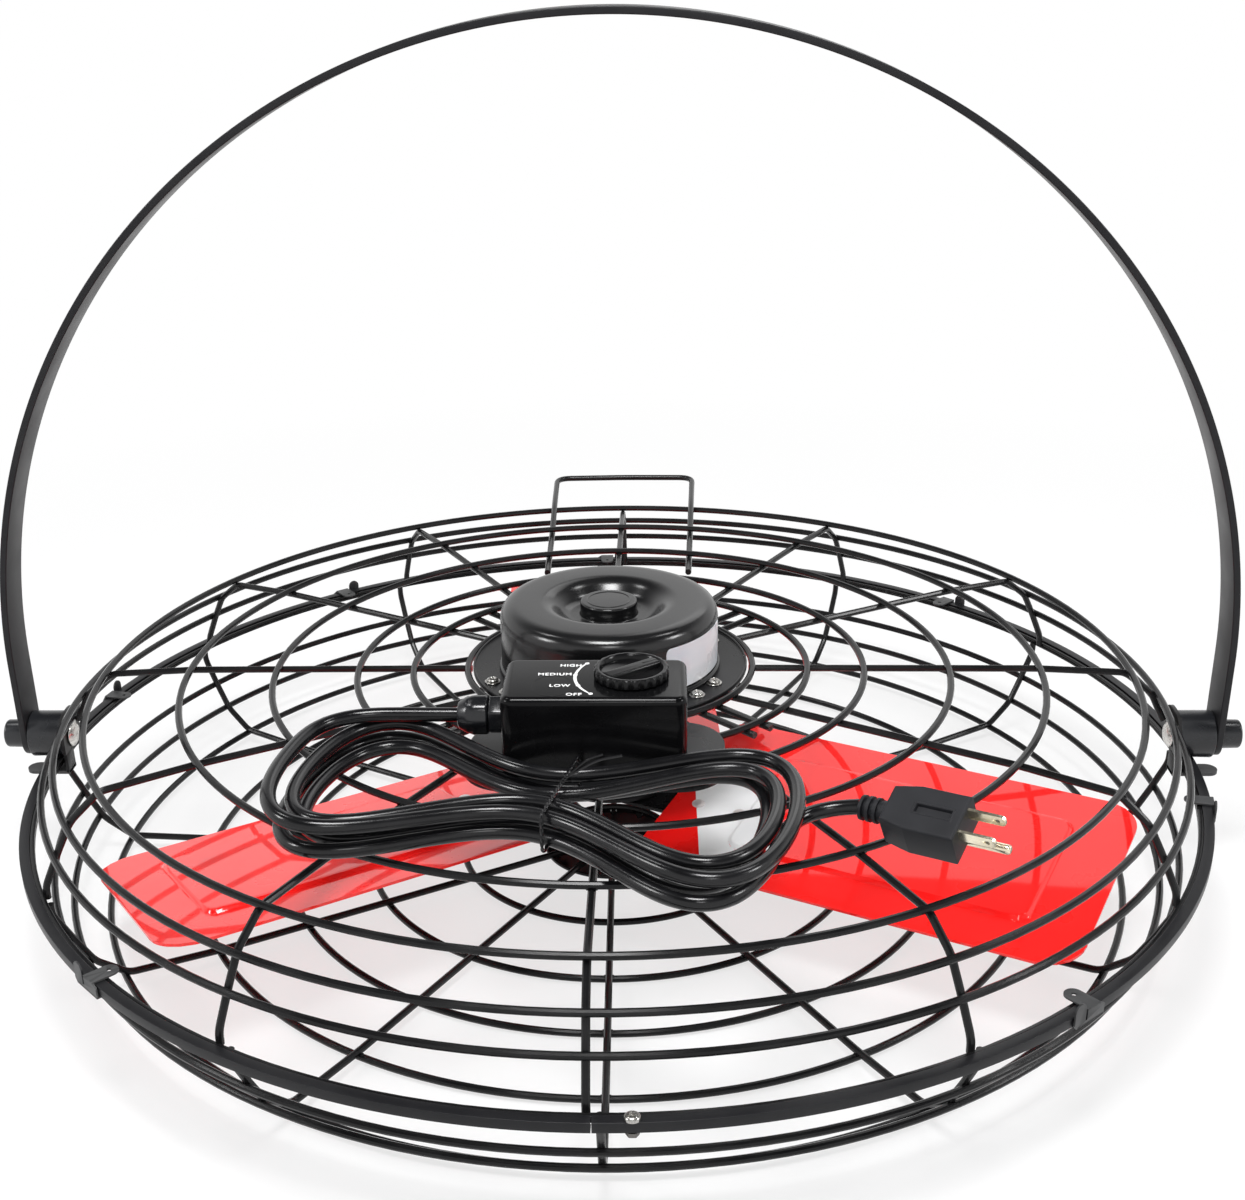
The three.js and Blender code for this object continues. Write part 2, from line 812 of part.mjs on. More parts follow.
// The rear case is a drawn cup with a rounded shoulder, a dished top and a boss over the bearing.
function motorCase() {
  const low = discZ + discSheet + GAP;
  const t = caseWall;
  const floor = caseTop - dishDeep;
  const shoulder = (r) => Array.from({ length: 4 }, (_, i) => {
    const [dr, dz] = polar(r, (i / 3) * (Math.PI / 2));
    return [caseR - caseRound + dr, caseTop - caseRound + dz];
  });
  const outside = [
    [caseR, low],
    ...shoulder(caseRound),
    [dishR, caseTop],
    [dishFloorR, floor],
    [bossR, floor],
    [bossR, caseTop - t / 2],
    [bossR - t, caseTop],
    [0, caseTop],
  ];
  const inside = [
    [0, floor - t],
    [dishFloorR, floor - t],
    [dishR, caseTop - t],
    ...shoulder(caseRound - t).reverse(),
    [caseR - t, low],
  ];
  const closed = [...inside, ...outside];
  const points = closed.map(([r, z]) => new THREE.Vector2(r, z));
  return solid(new THREE.LatheGeometry(points, motorSteps).rotateX(Math.PI / 2));
}

// The front bell closes the motor under the plate, with a boss where the shaft comes out.
function frontBell() {
  const top = discZ - GAP;
  const t = caseWall;
  const bore = shaftR + GAP;
  const profile = [
    [bellR, top],
    [bellR, bellLow + bellRound],
    [bellR - bellRound, bellLow],
    [seatR, bellLow],
    [seatR - t, bellLow - t],
    [bore, bellLow - t],
    [bore, bellLow + t],
    [bellR - bellRound - t / 2, bellLow + t],
    [bellR - t, bellLow + bellRound],
    [bellR - t, top],
  ];
  return solid(turned(profile, smallRingSteps));
}

// The motor is closed, so its core is a plain ring and its rotor a plain drum on the shaft.
function statorCore() {
  return solid(turned([
    [boreR, statorLow],
    [statorR, statorLow],
    [statorR, statorTop],
    [boreR, statorTop],
  ], smallRingSteps));
}

function rotor() {
  const bore = shaftR + GAP;
  return solid(turned([
    [bore, statorLow],
    [rotorR, statorLow],
    [rotorR, statorTop],
    [bore, statorTop],
  ], innerSteps));
}

function shaft() {
  const top = caseTop - dishDeep - caseWall - GAP;
  return solid(plate(circle(0, 0, shaftR, innerSteps), shaftLow, top - shaftLow));
}

// The frame of one blade: radial line along X, pitched about it, at its angle and height.
const bladeFrame = (k, lift = 0) => [
  moved(0, 0, lift),
  turnedX(bladePitch),
  turnedZ(bladeTurn + (k / bladeCount) * Math.PI * 2),
  moved(0, 0, bladeZ),
];

function blade(k) {
  const lift = armSheet / 2 + GAP;
  const half = bladeWide / 2;
  const radii = [bladeRootRound, bladeTipRound, bladeTipRound, bladeRootRound];
  const sheet = solid(plate(rounded(bladeIn, -half, bladeOut, half, radii, 3), lift, bladeSheet));
  const panelAt = (inset, z, rise) => {
    const side = panelWide / 2 - inset;
    const outline = rounded(panelIn + inset, -side, panelOut - inset, side, panelRound - inset / 2, 1);
    return solid(plate(outline, z, rise));
  };
  const raised = panelAt(0, lift, bladeSheet + panelRise);
  const hollow = panelAt(bladeSheet, lift - CUT, CUT + panelRise);
  const foot = lift + bladeSheet - WELD / 2;
  const rivets = rivetTurnsR.flatMap((r) =>
    [-rivetHalf, rivetHalf].map((y) => rod(r, y, foot, rivetR, rivetRise + WELD / 2, rivetSides)),
  );
  const body = join([sheet, raised, ...rivets]).subtract(hollow);
  return solid(placed(asGeometry(body), ...bladeFrame(k)));
}

// The hub is a sleeve with a disc and three pitched arms.
function hub() {
  const sleeve = rod(0, 0, hubLow, hubR, hubTop - hubLow, innerSteps);
  const disc = rod(0, 0, bladeZ - armSheet / 2, hubDiscR, armSheet);
  const half = armWide / 2;
  const outline = rounded(hubR / 2, -half, armOut, half, [armSheet, armRound, armRound, armSheet], 2);
  const arms = Array.from({ length: bladeCount }, (_, k) =>
    solid(placed(plate(outline, -armSheet / 2, armSheet), ...bladeFrame(k))),
  );
  const bore = rod(0, 0, hubLow - CUT, shaftR + GAP, hubTop - hubLow + 2 * CUT, innerSteps);
  return join([sleeve, disc, ...arms]).subtract(bore);
}

// The tray lies on the rings and carries the switch box.
function tray() {
  const outline = rounded(trayLowX, trayNearY, trayHighX, trayFarY, trayRound, 5);
  const t = traySheet;
  const pocket = rounded(trayLowX + t, trayNearY + t, trayHighX - t, trayFarY - t, trayRound - t, 5);
  const pan = solid(plate(outline, trayZ, trayRise));
  return pan.subtract(solid(plate(pocket, trayZ - CUT, trayRise - t + CUT)));
}

// The cover is a block with rounded edges, hollow from below.
function boxCover() {
  const low = trayZ + trayRise + GAP;
  const e = boxEdge;
  const outline = rounded(boxLowX + e, boxNearY + e, boxHighX - e, boxFarY - e, boxRound - e, 2);
  const shape = new THREE.Shape(outline.map(([x, y]) => new THREE.Vector2(x, y)));
  const block = new THREE.ExtrudeGeometry(shape, {
    depth: boxTop - low,
    bevelEnabled: true,
    bevelSize: e,
    bevelThickness: e,
    bevelSegments: 3,
    curveSegments: 2,
  }).translate(0, 0, low - e);
  const w = boxWall;
  const under = rounded(boxLowX - CUT, boxNearY - CUT, boxHighX + CUT, boxFarY + CUT, CUT, 1);
  const floor = solid(plate(under, low - 2 * e, 2 * e));
  const within = rounded(boxLowX + w, boxNearY + w, boxHighX - w, boxFarY - w, boxRound - w, 2);
  const room = solid(plate(within, low - CUT, boxTop - low - w - e / 2 + CUT));
  const dial = rod(dialX, dialY, boxTop - 3 * boxWall - e, dialHole, 3 * boxWall + 2 * e, roundSteps / 2);
  const gland = solid(alongX(turned([
    [0, boxLowX - CUT],
    [glandThreadR + GAP, boxLowX - CUT],
    [glandThreadR + GAP, boxLowX + boxWall + CUT],
    [0, boxLowX + boxWall + CUT],
  ], roundSteps / 2), glandY, glandZ));
  return solid(block).subtract(floor).subtract(room).subtract(dial).subtract(gland);
}

function speedKnob() {
  const outline = Array.from({ length: 2 * dialFlutes }, (_, i) => {
    const [x, y] = polar(dialKnobR - (i % 2) * dialFlute, (i / (2 * dialFlutes)) * Math.PI * 2);
    return [x, y];
  });
  const low = boxTop + dialLift;
  const body = solid(plate(outline, low, dialKnobRise));
  const floor = low + dialKnobRise - dialDishDeep;
  const dish = solid(plate(circle(0, 0, dialDishR, roundSteps), floor, dialDishDeep + CUT));
  const reach = dialDishR + CUT;
  const bar = rounded(-reach, -dialBarWide / 2, reach, dialBarWide / 2, dialBarWide / 4, 1);
  const grip = solid(plate(bar, low, dialKnobRise + 2 * CUT));
  const bore = rod(0, 0, low - CUT, stemR + GAP, stemInto + CUT + GAP, screwSides);
  const made = body.subtract(dish.subtract(grip)).subtract(bore);
  return solid(placed(asGeometry(made), turnedZ(dialGripTurn), moved(dialX, dialY, 0)));
}

function switchStem() {
  return rod(dialX, dialY, stemLow, stemR, boxTop + dialLift + stemInto - stemLow, screwSides);
}

function rotarySwitch() {
  const h = switchHalf;
  const outline = rounded(dialX - h, dialY - h, dialX + h, dialY + h, switchRound, 1);
  const body = solid(plate(outline, switchLow, switchTop - switchLow));
  const neck = rod(dialX, dialY, switchTop - WELD, neckR, neckTop - switchTop + WELD, roundSteps / 2);
  const bore = rod(dialX, dialY, stemLow - GAP, stemR + GAP, neckTop - stemLow + CUT, screwSides);
  return body.add(neck).subtract(bore);
}

function capacitor() {
  const low = trayZ + trayRise + GAP;
  return solid(plate(rounded(capLowX, capLowY, capHighX, capHighY, capRound, 3), low, capTop - low));
}

function glandBody() {
  const wall = boxLowX - GAP;
  const hex = alongX(turned([
    [0, wall - glandFlange],
    [glandHexR, wall - glandFlange],
    [glandHexR, wall],
    [0, wall],
  ], glandHexSides), glandY, glandZ);
  const thread = alongX(turned([
    [0, wall - WELD],
    [glandThreadR, wall - WELD],
    [glandThreadR, wall + glandInside],
    [0, wall + glandInside],
  ], roundSteps / 2), glandY, glandZ);
  return solid(hex).add(solid(thread));
}

// Where the cord leaves the dome nut of the gland.
const glandFace = boxLowX - 2 * GAP - glandFlange - glandNutLong;

function glandNut() {
  const near = glandFace + glandNutLong;
  return solid(alongX(turned([
    [0, glandFace],
    [glandNoseR, glandFace],
    [glandHexR - glandNutEdge, glandFace + glandNutLong / 3],
    [glandHexR, glandFace + glandNutLong / 2],
    [glandHexR, near],
    [0, near],
  ], glandNutSides), glandY, glandZ));
}

// One point of the hank, whose loops turn left from the left end above to the right end below.
// The first quarter loop comes down from the height of the gland.
function hankPoint(turns) {
  const inward = Math.min(turns, hankLoops - turns);
  const angle = Math.PI * (1 + 2 * turns);
  const [c, s] = polar(1, angle);
  const middle = hankLoops / 2;
  const drawnIn = THREE.MathUtils.smoothstep(turns, middle + 1 / 4, middle + 3 / 4);
  const drawn = hankDrawn * Math.max(c, 0) * drawnIn;
  const x = (hankLong - hankStepEnd * inward - drawn) * c;
  const swell = (hankSwell - hankStepSwell * inward) * Math.abs(c) ** hankSwellShare;
  const y = s * (hankWaist - hankStepWaist * inward + swell);
  const fall = THREE.MathUtils.smoothstep(turns, middle - 1 / 4, middle + 1 / 4);
  const [cos, sin] = polar(1, hankTurn);
  const settle = THREE.MathUtils.smoothstep(turns, 0, 1 / 4);
  const z = hankLow + hankLayer * (1 - fall) + hankLift * (1 - settle);
  return new THREE.Vector3(hankX + x * cos - y * sin, hankY + x * sin + y * cos, z);
}

// The hank's middle line with a straight end of one diameter at each end.
function hankLine(perLoop) {
  const count = Math.round(hankLoops * perLoop);
  const points = Array.from({ length: count + 1 }, (_, i) => hankPoint((i / count) * hankLoops));
  const tiny = 1 / hankFine / 8;
  const startWay = hankPoint(tiny).sub(hankPoint(0)).normalize();
  const endWay = hankPoint(hankLoops).sub(hankPoint(hankLoops - tiny)).normalize();
  points.unshift(points[0].clone().addScaledVector(startWay, -2 * cordR));
  points.push(points[points.length - 1].clone().addScaledVector(endWay, 2 * cordR));
  return { points, startWay, endWay };
}

function lengthOf(points) {
  return points.slice(1).reduce((sum, p, i) => sum + p.distanceTo(points[i]), 0);
}

// The least gap between stretches of the hank that lie more than four diameters apart along it.
function leastGap() {
  const { points } = hankLine(hankFine);
  const along = [0];
  points.slice(1).forEach((p, i) => along.push(along[i] + p.distanceTo(points[i])));
  let least = Infinity;
  for (let i = 0; i < points.length; i += 2)
    for (let j = i + 1; j < points.length; j += 1)
      if (along[j] - along[i] > 8 * cordR) least = Math.min(least, points[i].distanceTo(points[j]));
  return least - 2 * cordR;
}

function hank() {
  const { points } = hankLine(hankPerLoop);
  return solid(swept(points, cordR, hankSides, new THREE.Vector3(0, 0, 1), Math.PI / hankSides));
}

// A cord stretch through points, with steps of about one diameter.
function cordTube(points) {
  const path = new THREE.CatmullRomCurve3(points, false, "centripetal");
  const steps = Math.round(lengthOf(points) / (cordStep * 2 * cordR));
  const corners = circle(0, 0, cordR, cordSides, Math.PI / cordSides);
  const section = new THREE.Shape(corners.map(([x, y]) => new THREE.Vector2(x, y)));
  return solid(new THREE.ExtrudeGeometry(section, { steps, extrudePath: path, bevelEnabled: false }));
}

function leadPoints() {
  const { points, startWay } = hankLine(hankPerLoop);
  const meet = points[0].clone().addScaledVector(startWay, -GAP);
  const start = new THREE.Vector3(glandFace - GAP, glandY, glandZ);
  const straight = start.clone().setX(start.x - 2 * cordR);
  const before = meet.clone().addScaledVector(startWay, -2 * cordR);
  return [start, straight, ...cordMiddle.map((p) => new THREE.Vector3(...p)), before, meet];
}

// The tail turns right from the hank's end to the plug's heading, low at first under the upper layer.
function tailPoints() {
  const { points, endWay } = hankLine(hankPerLoop);
  const start = points[points.length - 1].clone().addScaledVector(endWay, GAP);
  const from = start.clone().addScaledVector(endWay, tailStraight);
  const heading = Math.atan2(endWay.y, endWay.x);
  const list = [start];
  for (let i = 0; i <= tailSteps; i += 1) {
    const share = i / tailSteps;
    const a = heading + (plugTurn - heading) * share;
    const x = from.x + tailR * (Math.sin(heading) - Math.sin(a));
    const y = from.y - tailR * (Math.cos(heading) - Math.cos(a));
    const climb = THREE.MathUtils.smoothstep(share, tailFlatShare, 1 + tailFlatShare / 2);
    list.push(new THREE.Vector3(x, y, start.z + (tailEndZ - start.z) * climb));
  }
  const way = new THREE.Vector3(Math.cos(plugTurn), Math.sin(plugTurn), Math.sin(plugRise)).normalize();
  list.push(list[list.length - 1].clone().addScaledVector(way, tailStraight));
  return list;
}

// The plug's own frame: its origin where the body meets the relief, +X along its prongs.
function plugFrame() {
  const end = tailPoints().pop();
  const turnOnly = new THREE.Matrix4().multiply(turnedZ(plugTurn)).multiply(turnedY(-plugRise));
  const way = new THREE.Vector3(1, 0, 0).transformDirection(turnOnly);
  const origin = end.addScaledVector(way, reliefLong + GAP);
  return moved(origin.x, origin.y, origin.z).multiply(turnOnly).multiply(turnedX(plugRoll));
}

// A ribbed relief, then a body that widens to the prong face.
function plugBody() {
  const step = reliefLong / (2 * reliefRings);
  const profile = [[0, -reliefLong], [reliefNeckR, -reliefLong]];
  for (let i = 0; i < reliefRings; i += 1) {
    const x = -reliefLong + 2 * i * step;
    profile.push([reliefR, x + step / 4], [reliefR, x + step], [reliefNeckR, x + step * 5 / 4]);
  }
  profile.push([reliefNeckR, WELD], [0, WELD]);
  const relief = solid(alongX(turned(profile, pinSides)));
  const outline = [
    [0, -plugBackHalf],
    [plugWaist, -plugBackHalf],
    [plugWaist * 2, -plugHalf],
    [plugLong, -plugHalf],
    [plugLong, plugHalf],
    [plugWaist * 2, plugHalf],
    [plugWaist, plugBackHalf],
    [0, plugBackHalf],
  ];
  const body = solid(plate(outline, -plugThickHalf, 2 * plugThickHalf));
  return solid(placed(asGeometry(relief.add(body)), plugFrame()));
}

function plugBlade(side) {
  const y = (side * bladePinSpread) / 2;
  const from = plugLong + GAP;
  const half = bladePinWide / 2;
  const outline = rounded(from, pinRise - half, from + bladePinLong, pinRise + half, bladePinRound, 2);
  const hole = circle(from + bladePinLong * pinHoleShare, pinRise, bladePinHole, screwSides);
  const flat = plate(outline, -bladePinThick / 2, bladePinThick, [hole]);
  return solid(placed(flat, turnedX(Math.PI / 2), moved(0, y, 0), plugFrame()));
}

function groundPin() {
  const from = plugLong + GAP;
  const end = from + groundPinLong;
  const pin = turned([
    [0, from],
    [groundPinR, from],
    [groundPinR, end - groundPinR],
    [groundPinR / 2, end],
    [0, end],
  ], pinSides);
  return solid(placed(alongX(pin, 0, pinRise - groundPinDrop), plugFrame()));
}

// A wire tie round the waist of the hank, twisted once, with two loose tails.
function cordTie() {
  const room = cordR + GAP + tieWire;
  const half = hankWaist + room;
  const low = hankLow - room;
  const high = hankLow + hankLayer + room;
  const frame = new THREE.Matrix4().multiply(moved(hankX, hankY, 0)).multiply(turnedZ(hankTurn));
  const outline = rounded(-half, low, half, high, cordR, 2);
  const loop = outline.map(([y, z]) => new THREE.Vector3(0, y, z).applyMatrix4(frame));
  const way = new THREE.Vector3(1, 0, 0).transformDirection(frame);
  const ring = solid(swept(loop, tieWire, tieSides, way, 0, true));
  const top = new THREE.Vector3(0, 0, high).applyMatrix4(frame);
  const knotEnd = top.clone().add(new THREE.Vector3(tieKnotLong / 2, tieKnotLong / 3, tieKnotLong / 2));
  const knot = solid(swept([top, knotEnd], tieKnot, tieSides, way, 0));
  const tails = tieTails.map(([x, y, z]) => {
    const end = top.clone().add(new THREE.Vector3(x, y, z));
    const from = knotEnd.clone().lerp(top, 1 / 4);
    const bowed = from.clone().lerp(end, 1 / 2).add(new THREE.Vector3(0, 0, tieBow));
    return solid(swept([from, bowed, end], tieWire, tieSides, way, 0));
  });
  return join([ring, knot, ...tails]);
}

const part = new THREE.Group();

function addNode(name, look, body) {
  const geometry = asGeometry(body.asOriginal().simplify(TIDY));
  geometry.computeVertexNormals();
  const [color, roughness, metalness] = COLOURS[look];
  const mesh = new THREE.Mesh(geometry, new THREE.MeshStandardMaterial({ color, roughness, metalness }));
  mesh.name = name;
  part.add(mesh);
}

addNode("rear_guard", "wire", rearGuard());
addNode("front_guard", "wire", frontGuard());
addNode("front_centre_plate", "painted", centrePlate());
addNode("clamp_band", "painted", clampBand());
addNode("clamp_screw", "steel", clampScrew());
addNode("clamp_nut", "steel", clampNut());
clipTurns.forEach((a, i) => addNode(`guard_clip_${i + 1}`, "grey", guardClip(a)));
addNode("tilt_handle", "wire", tiltHandle());
addNode("motor_mount_plate", "painted", mountPlate());
addNode("motor_rear_case", "black", motorCase());
addNode("motor_front_bell", "painted", frontBell());
addNode("stator_core", "steel", statorCore());
addNode("rotor", "steel", rotor());
addNode("motor_shaft", "steel", shaft());
addNode("propeller_hub", "painted", hub());
[0, 1, 2].forEach((k) => addNode(`propeller_blade_${k + 1}`, "red", blade(k)));
addNode("switch_box_tray", "painted", tray());
addNode("switch_box_cover", "black", boxCover());
addNode("speed_switch", "grey", rotarySwitch());
addNode("switch_stem", "steel", switchStem());
addNode("speed_knob", "black", speedKnob());
addNode("run_capacitor", "grey", capacitor());
addNode("cord_gland_body", "rubber", glandBody());
addNode("cord_gland_nut", "rubber", glandNut());
addNode("power_cord", "rubber", cordTube(leadPoints()));
addNode("cord_hank", "rubber", hank());
addNode("cord_tail", "rubber", cordTube(tailPoints()));
addNode("cord_tie", "rubber", cordTie());
addNode("plug_body", "plug", plugBody());
addNode("plug_blade_near", "brass", plugBlade(-1));
addNode("plug_blade_far", "brass", plugBlade(1));
addNode("plug_ground_pin", "brass", groundPin());
addNode("pivot_bracket_right", "painted", pivotBracket());
addNode("pivot_bracket_left", "painted", halfTurn(pivotBracket()));
addNode("pivot_spacer_right", "painted", pivotSpacer());
addNode("pivot_spacer_left", "painted", halfTurn(pivotSpacer()));
addNode("pivot_bolt_right", "steel", pivotBolt());
addNode("pivot_bolt_left", "steel", halfTurn(pivotBolt()));
addNode("pivot_knob_right", "black", pivotKnob());
addNode("pivot_knob_left", "black", halfTurn(pivotKnob()));
addNode("bail", "painted", bail());

console.log("hank: least gap to itself", leastGap().toFixed(2), "mm");
console.log("hank length", lengthOf(hankLine(hankPerLoop).points).toFixed(0), "mm");
console.log("lead", lengthOf(leadPoints()).toFixed(0), "tail", lengthOf(tailPoints()).toFixed(0), "mm");

export default part;
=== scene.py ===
"""Looks of a barn fan in a wire basket, which rests on its front guard with its bail upright.

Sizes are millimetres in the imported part's frame: +Z up, X along the bail's pivots, the switch box
towards -Y and the origin on the floor at the fan's axis. Meshes reach Blender in metres.
"""

import logging
import math
from collections.abc import Callable, Sequence
from dataclasses import dataclass
from enum import Enum
from functools import cache

import bmesh
import bpy
import numpy as np
from mathutils import Matrix


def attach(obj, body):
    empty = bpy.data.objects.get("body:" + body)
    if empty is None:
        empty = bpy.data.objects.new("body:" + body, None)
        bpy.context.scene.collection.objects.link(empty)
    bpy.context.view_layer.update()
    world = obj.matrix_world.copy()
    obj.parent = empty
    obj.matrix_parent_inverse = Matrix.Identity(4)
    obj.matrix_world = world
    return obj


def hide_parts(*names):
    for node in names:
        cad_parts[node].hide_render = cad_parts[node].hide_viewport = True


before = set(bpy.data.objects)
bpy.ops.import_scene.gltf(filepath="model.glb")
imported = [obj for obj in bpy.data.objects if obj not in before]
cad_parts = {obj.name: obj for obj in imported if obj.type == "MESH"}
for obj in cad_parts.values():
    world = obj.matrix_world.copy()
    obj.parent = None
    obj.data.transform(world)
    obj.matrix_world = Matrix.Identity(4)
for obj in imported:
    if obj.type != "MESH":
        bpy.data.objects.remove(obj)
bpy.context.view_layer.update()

log = logging.getLogger("fan")
Array = np.ndarray
Colour = tuple[float, float, float]
Place = tuple[float, float, float]

MM = 0.001
TURN = 2 * math.pi
QUARTER = math.pi / 2
TINY = 1e-9
UP = (0.0, 0.0, 1.0)
MOST_OF_SIDE = 0.49
SMALLEST_CORNER = 0.05
MERGE_DISTANCE = 2e-6


# Surfaces


@dataclass
class Skin:
    """Points in millimetres, an array of shape (n, 3), and the faces that join them."""

    points: Array
    faces: list[list[int]]

    def placed(self, matrix: Array) -> "Skin":
        """A copy moved by a 4 by 4 matrix.

        Args:
            matrix: rotation and shift, the shift in millimetres.

        Returns:
            The moved copy.
        """
        return Skin(self.points @ matrix[:3, :3].T + matrix[:3, 3], self.faces)


def together(skins: Sequence[Skin]) -> Skin:
    """Several skins as one.

    Args:
        skins: the skins, in any order.

    Returns:
        One skin that holds the points and faces of all.
    """
    starts = np.cumsum([0] + [len(s.points) for s in skins[:-1]])
    faces = [[i + int(start) for i in face] for s, start in zip(skins, starts) for face in s.faces]
    return Skin(np.concatenate([s.points for s in skins]), faces)


def shift(x: float, y: float, z: float) -> Array:
    """A 4 by 4 matrix that moves by x, y and z millimetres."""
    return np.array([[1.0, 0.0, 0.0, x], [0.0, 1.0, 0.0, y], [0.0, 0.0, 1.0, z], [0.0, 0.0, 0.0, 1.0]])


def spin(axis: str, angle: float) -> Array:
    """A matrix that turns by an angle in radians about the axis named X, Y or Z."""
    return np.array(Matrix.Rotation(angle, 4, axis))


def unit(vectors: Array) -> Array:
    """Each vector divided by its length."""
    return vectors / np.linalg.norm(vectors, axis=-1, keepdims=True)


def soft_step(values: Array | float, low: float, high: float) -> Array:
    """0 below low, 1 above high and 3t^2 - 2t^3 between, where t runs from 0 to 1."""
    t = np.clip((np.asarray(values, float) - low) / (high - low), 0, 1)
    return t * t * (3 - 2 * t)


def eased(
    corners: Sequence[Sequence[float]] | Array,
    cut: float | Sequence[float],
    steps: int = 5,
    closed: bool = False,
) -> Array:
    """A line with its corners rounded off.

    Each corner B becomes (1-u)^2 P + 2u(1-u) B + u^2 Q, where P and Q lie before and after B at the
    distance cut, or at just under half a side where the sides are short.

    Args:
        corners: the line's corners in two or three dimensions.
        cut: how far before and after a corner its curve reaches, one for all or one for each.
        steps: the number of steps in each curve.
        closed: whether the last corner joins the first.

    Returns:
        The points of the rounded line.
    """
    c = np.asarray(corners, float)
    cuts = np.broadcast_to(np.asarray(cut, float), len(c))
    back, on = np.roll(c, 1, 0) - c, np.roll(c, -1, 0) - c
    reach_back = np.minimum(cuts, MOST_OF_SIDE * np.linalg.norm(back, axis=1))[:, None]
    reach_on = np.minimum(cuts, MOST_OF_SIDE * np.linalg.norm(on, axis=1))[:, None]
    p = c + unit(back) * reach_back
    q = c + unit(on) * reach_on
    u = np.linspace(0, 1, steps + 1)[None, :, None]
    curve = (1 - u) ** 2 * p[:, None] + 2 * u * (1 - u) * c[:, None] + u**2 * q[:, None]
    if closed:
        return curve.reshape(-1, c.shape[1])
    return np.concatenate([c[:1], curve[1:-1].reshape(-1, c.shape[1]), c[-1:]])


def circle(radius: float, count: int, phase: float = 0.0) -> Array:
    """Points of a circle: (r cos a, r sin a) for a in equal steps from phase."""
    angle = phase + np.arange(count) * TURN / count
    return radius * np.stack([np.cos(angle), np.sin(angle)], -1)


def rounded_box(
    low: Sequence[float], high: Sequence[float], radius: float, inset: float = 0.0, steps: int = 6
) -> Array:
    """A rectangle with round corners.

    Every point is a corner's centre plus r (cos a, sin a), a running a quarter turn at each corner.

    Args:
        low: the lowest x and y.
        high: the highest x and y.
        radius: the corners' radius before the inset.
        inset: how far the outline is drawn in.
        steps: steps in each corner.

    Returns:
        The outline's points, turning left.
    """
    r = max(radius - inset, SMALLEST_CORNER)
    lo, hi = np.array(low) + inset + r, np.array(high) - inset - r
    centres = np.array([[lo[0], lo[1]], [hi[0], lo[1]], [hi[0], hi[1]], [lo[0], hi[1]]])
    angle = np.pi + np.arange(4)[:, None] * np.pi / 2 + np.linspace(0, QUARTER, steps + 1)[None]
    ring = np.stack([np.cos(angle), np.sin(angle)], -1)
    return (centres[:, None] + r * ring).reshape(-1, 2)


def lattice(
    points: Array, wrap_rows: bool = False, wrap_columns: bool = False, caps: bool = False
) -> Skin:
    """Four-sided faces over a grid of points.

    Face (i, j) joins points (i, j), (i+1, j), (i+1, j+1) and (i, j+1).

    Args:
        points: an array of shape (rows, columns, 3).
        wrap_rows: whether the last row joins the first.
        wrap_columns: whether the last column joins the first.
        caps: whether the first and last rows are closed by one face each.

    Returns:
        The skin.
    """
    rows, columns = points.shape[:2]
    index = np.arange(rows * columns).reshape(rows, columns)
    first, last = index[0].tolist(), index[-1].tolist()
    if wrap_rows:
        index = np.vstack([index, index[:1]])
    if wrap_columns:
        index = np.hstack([index, index[:, :1]])
    quads = np.stack([index[:-1, :-1], index[1:, :-1], index[1:, 1:], index[:-1, 1:]], -1)
    faces = quads.reshape(-1, 4).tolist()
    if caps:
        faces += [first[::-1], last]
    return Skin(points.reshape(-1, 3), faces)


def carried(
    path: Array,
    section: Array,
    closed: bool = False,
    reference: Sequence[float] | Array = UP,
    scale: Array | float = 1.0,
) -> Skin:
    """A section carried along a path.

    P(i, k) = C(i) + x(i, k) A(i) + y(i, k) B(i), where T is the path's direction, A the unit vector
    along T x R, B = A x T, and (x, y) the section times the scale at i.

    Args:
        path: the middle line, shape (n, 3).
        section: the outline in x and y, shape (k, 2).
        closed: whether the path's end joins its start.
        reference: the vector R, one for the whole path or one for each point.
        scale: a factor for the section, one, one for each point, or one for each point and direction.

    Returns:
        The skin, with caps on an open path.
    """
    ahead = np.roll(path, -1, 0) - np.roll(path, 1, 0)
    if not closed:
        ahead[0], ahead[-1] = path[1] - path[0], path[-1] - path[-2]
    way = unit(ahead)
    side = unit(np.cross(way, np.asarray(reference, float)))
    up = np.cross(side, way)
    scales = np.asarray(scale, float)
    if scales.ndim == 1:
        scales = scales[:, None]
    factor = np.broadcast_to(scales, (len(path), 2))
    x = section[None, :, 0] * factor[:, :1]
    y = section[None, :, 1] * factor[:, 1:]
    points = path[:, None] + x[..., None] * side[:, None] + y[..., None] * up[:, None]
    return lattice(points, wrap_rows=closed, wrap_columns=True, caps=not closed)


def tube(
    path: Array,
    radius: float,
    sides: int = 12,
    closed: bool = False,
    reference: Sequence[float] | Array = UP,
) -> Skin:
    """A round tube along a path: the carried section is a circle."""
    return carried(path, circle(radius, sides), closed, reference)


def turned(
    profile: Sequence[Sequence[float]] | Array, steps: int = 96, start: float = 0.0, sweep: float = TURN
) -> Skin:
    """A profile turned about Z: P(a, k) = (r cos a, r sin a, h).

    Args:
        profile: radius and height of each point. It starts and ends on the axis, or closes on itself.
        steps: steps in the turn.
        start: the first angle.
        sweep: how far it turns.

    Returns:
        The skin.
    """
    p = np.asarray(profile, float)
    whole = abs(sweep - TURN) < TINY
    angle = start + np.linspace(0, sweep, steps, endpoint=not whole)
    radius, height = p[None, :, 0], np.broadcast_to(p[None, :, 1], (steps, len(p)))
    points = np.stack([radius * np.cos(angle)[:, None], radius * np.sin(angle)[:, None], height], -1)
    on_axis = abs(p[0, 0]) < TINY and abs(p[-1, 0]) < TINY
    return lattice(points, wrap_rows=whole, wrap_columns=not on_axis, caps=not whole)


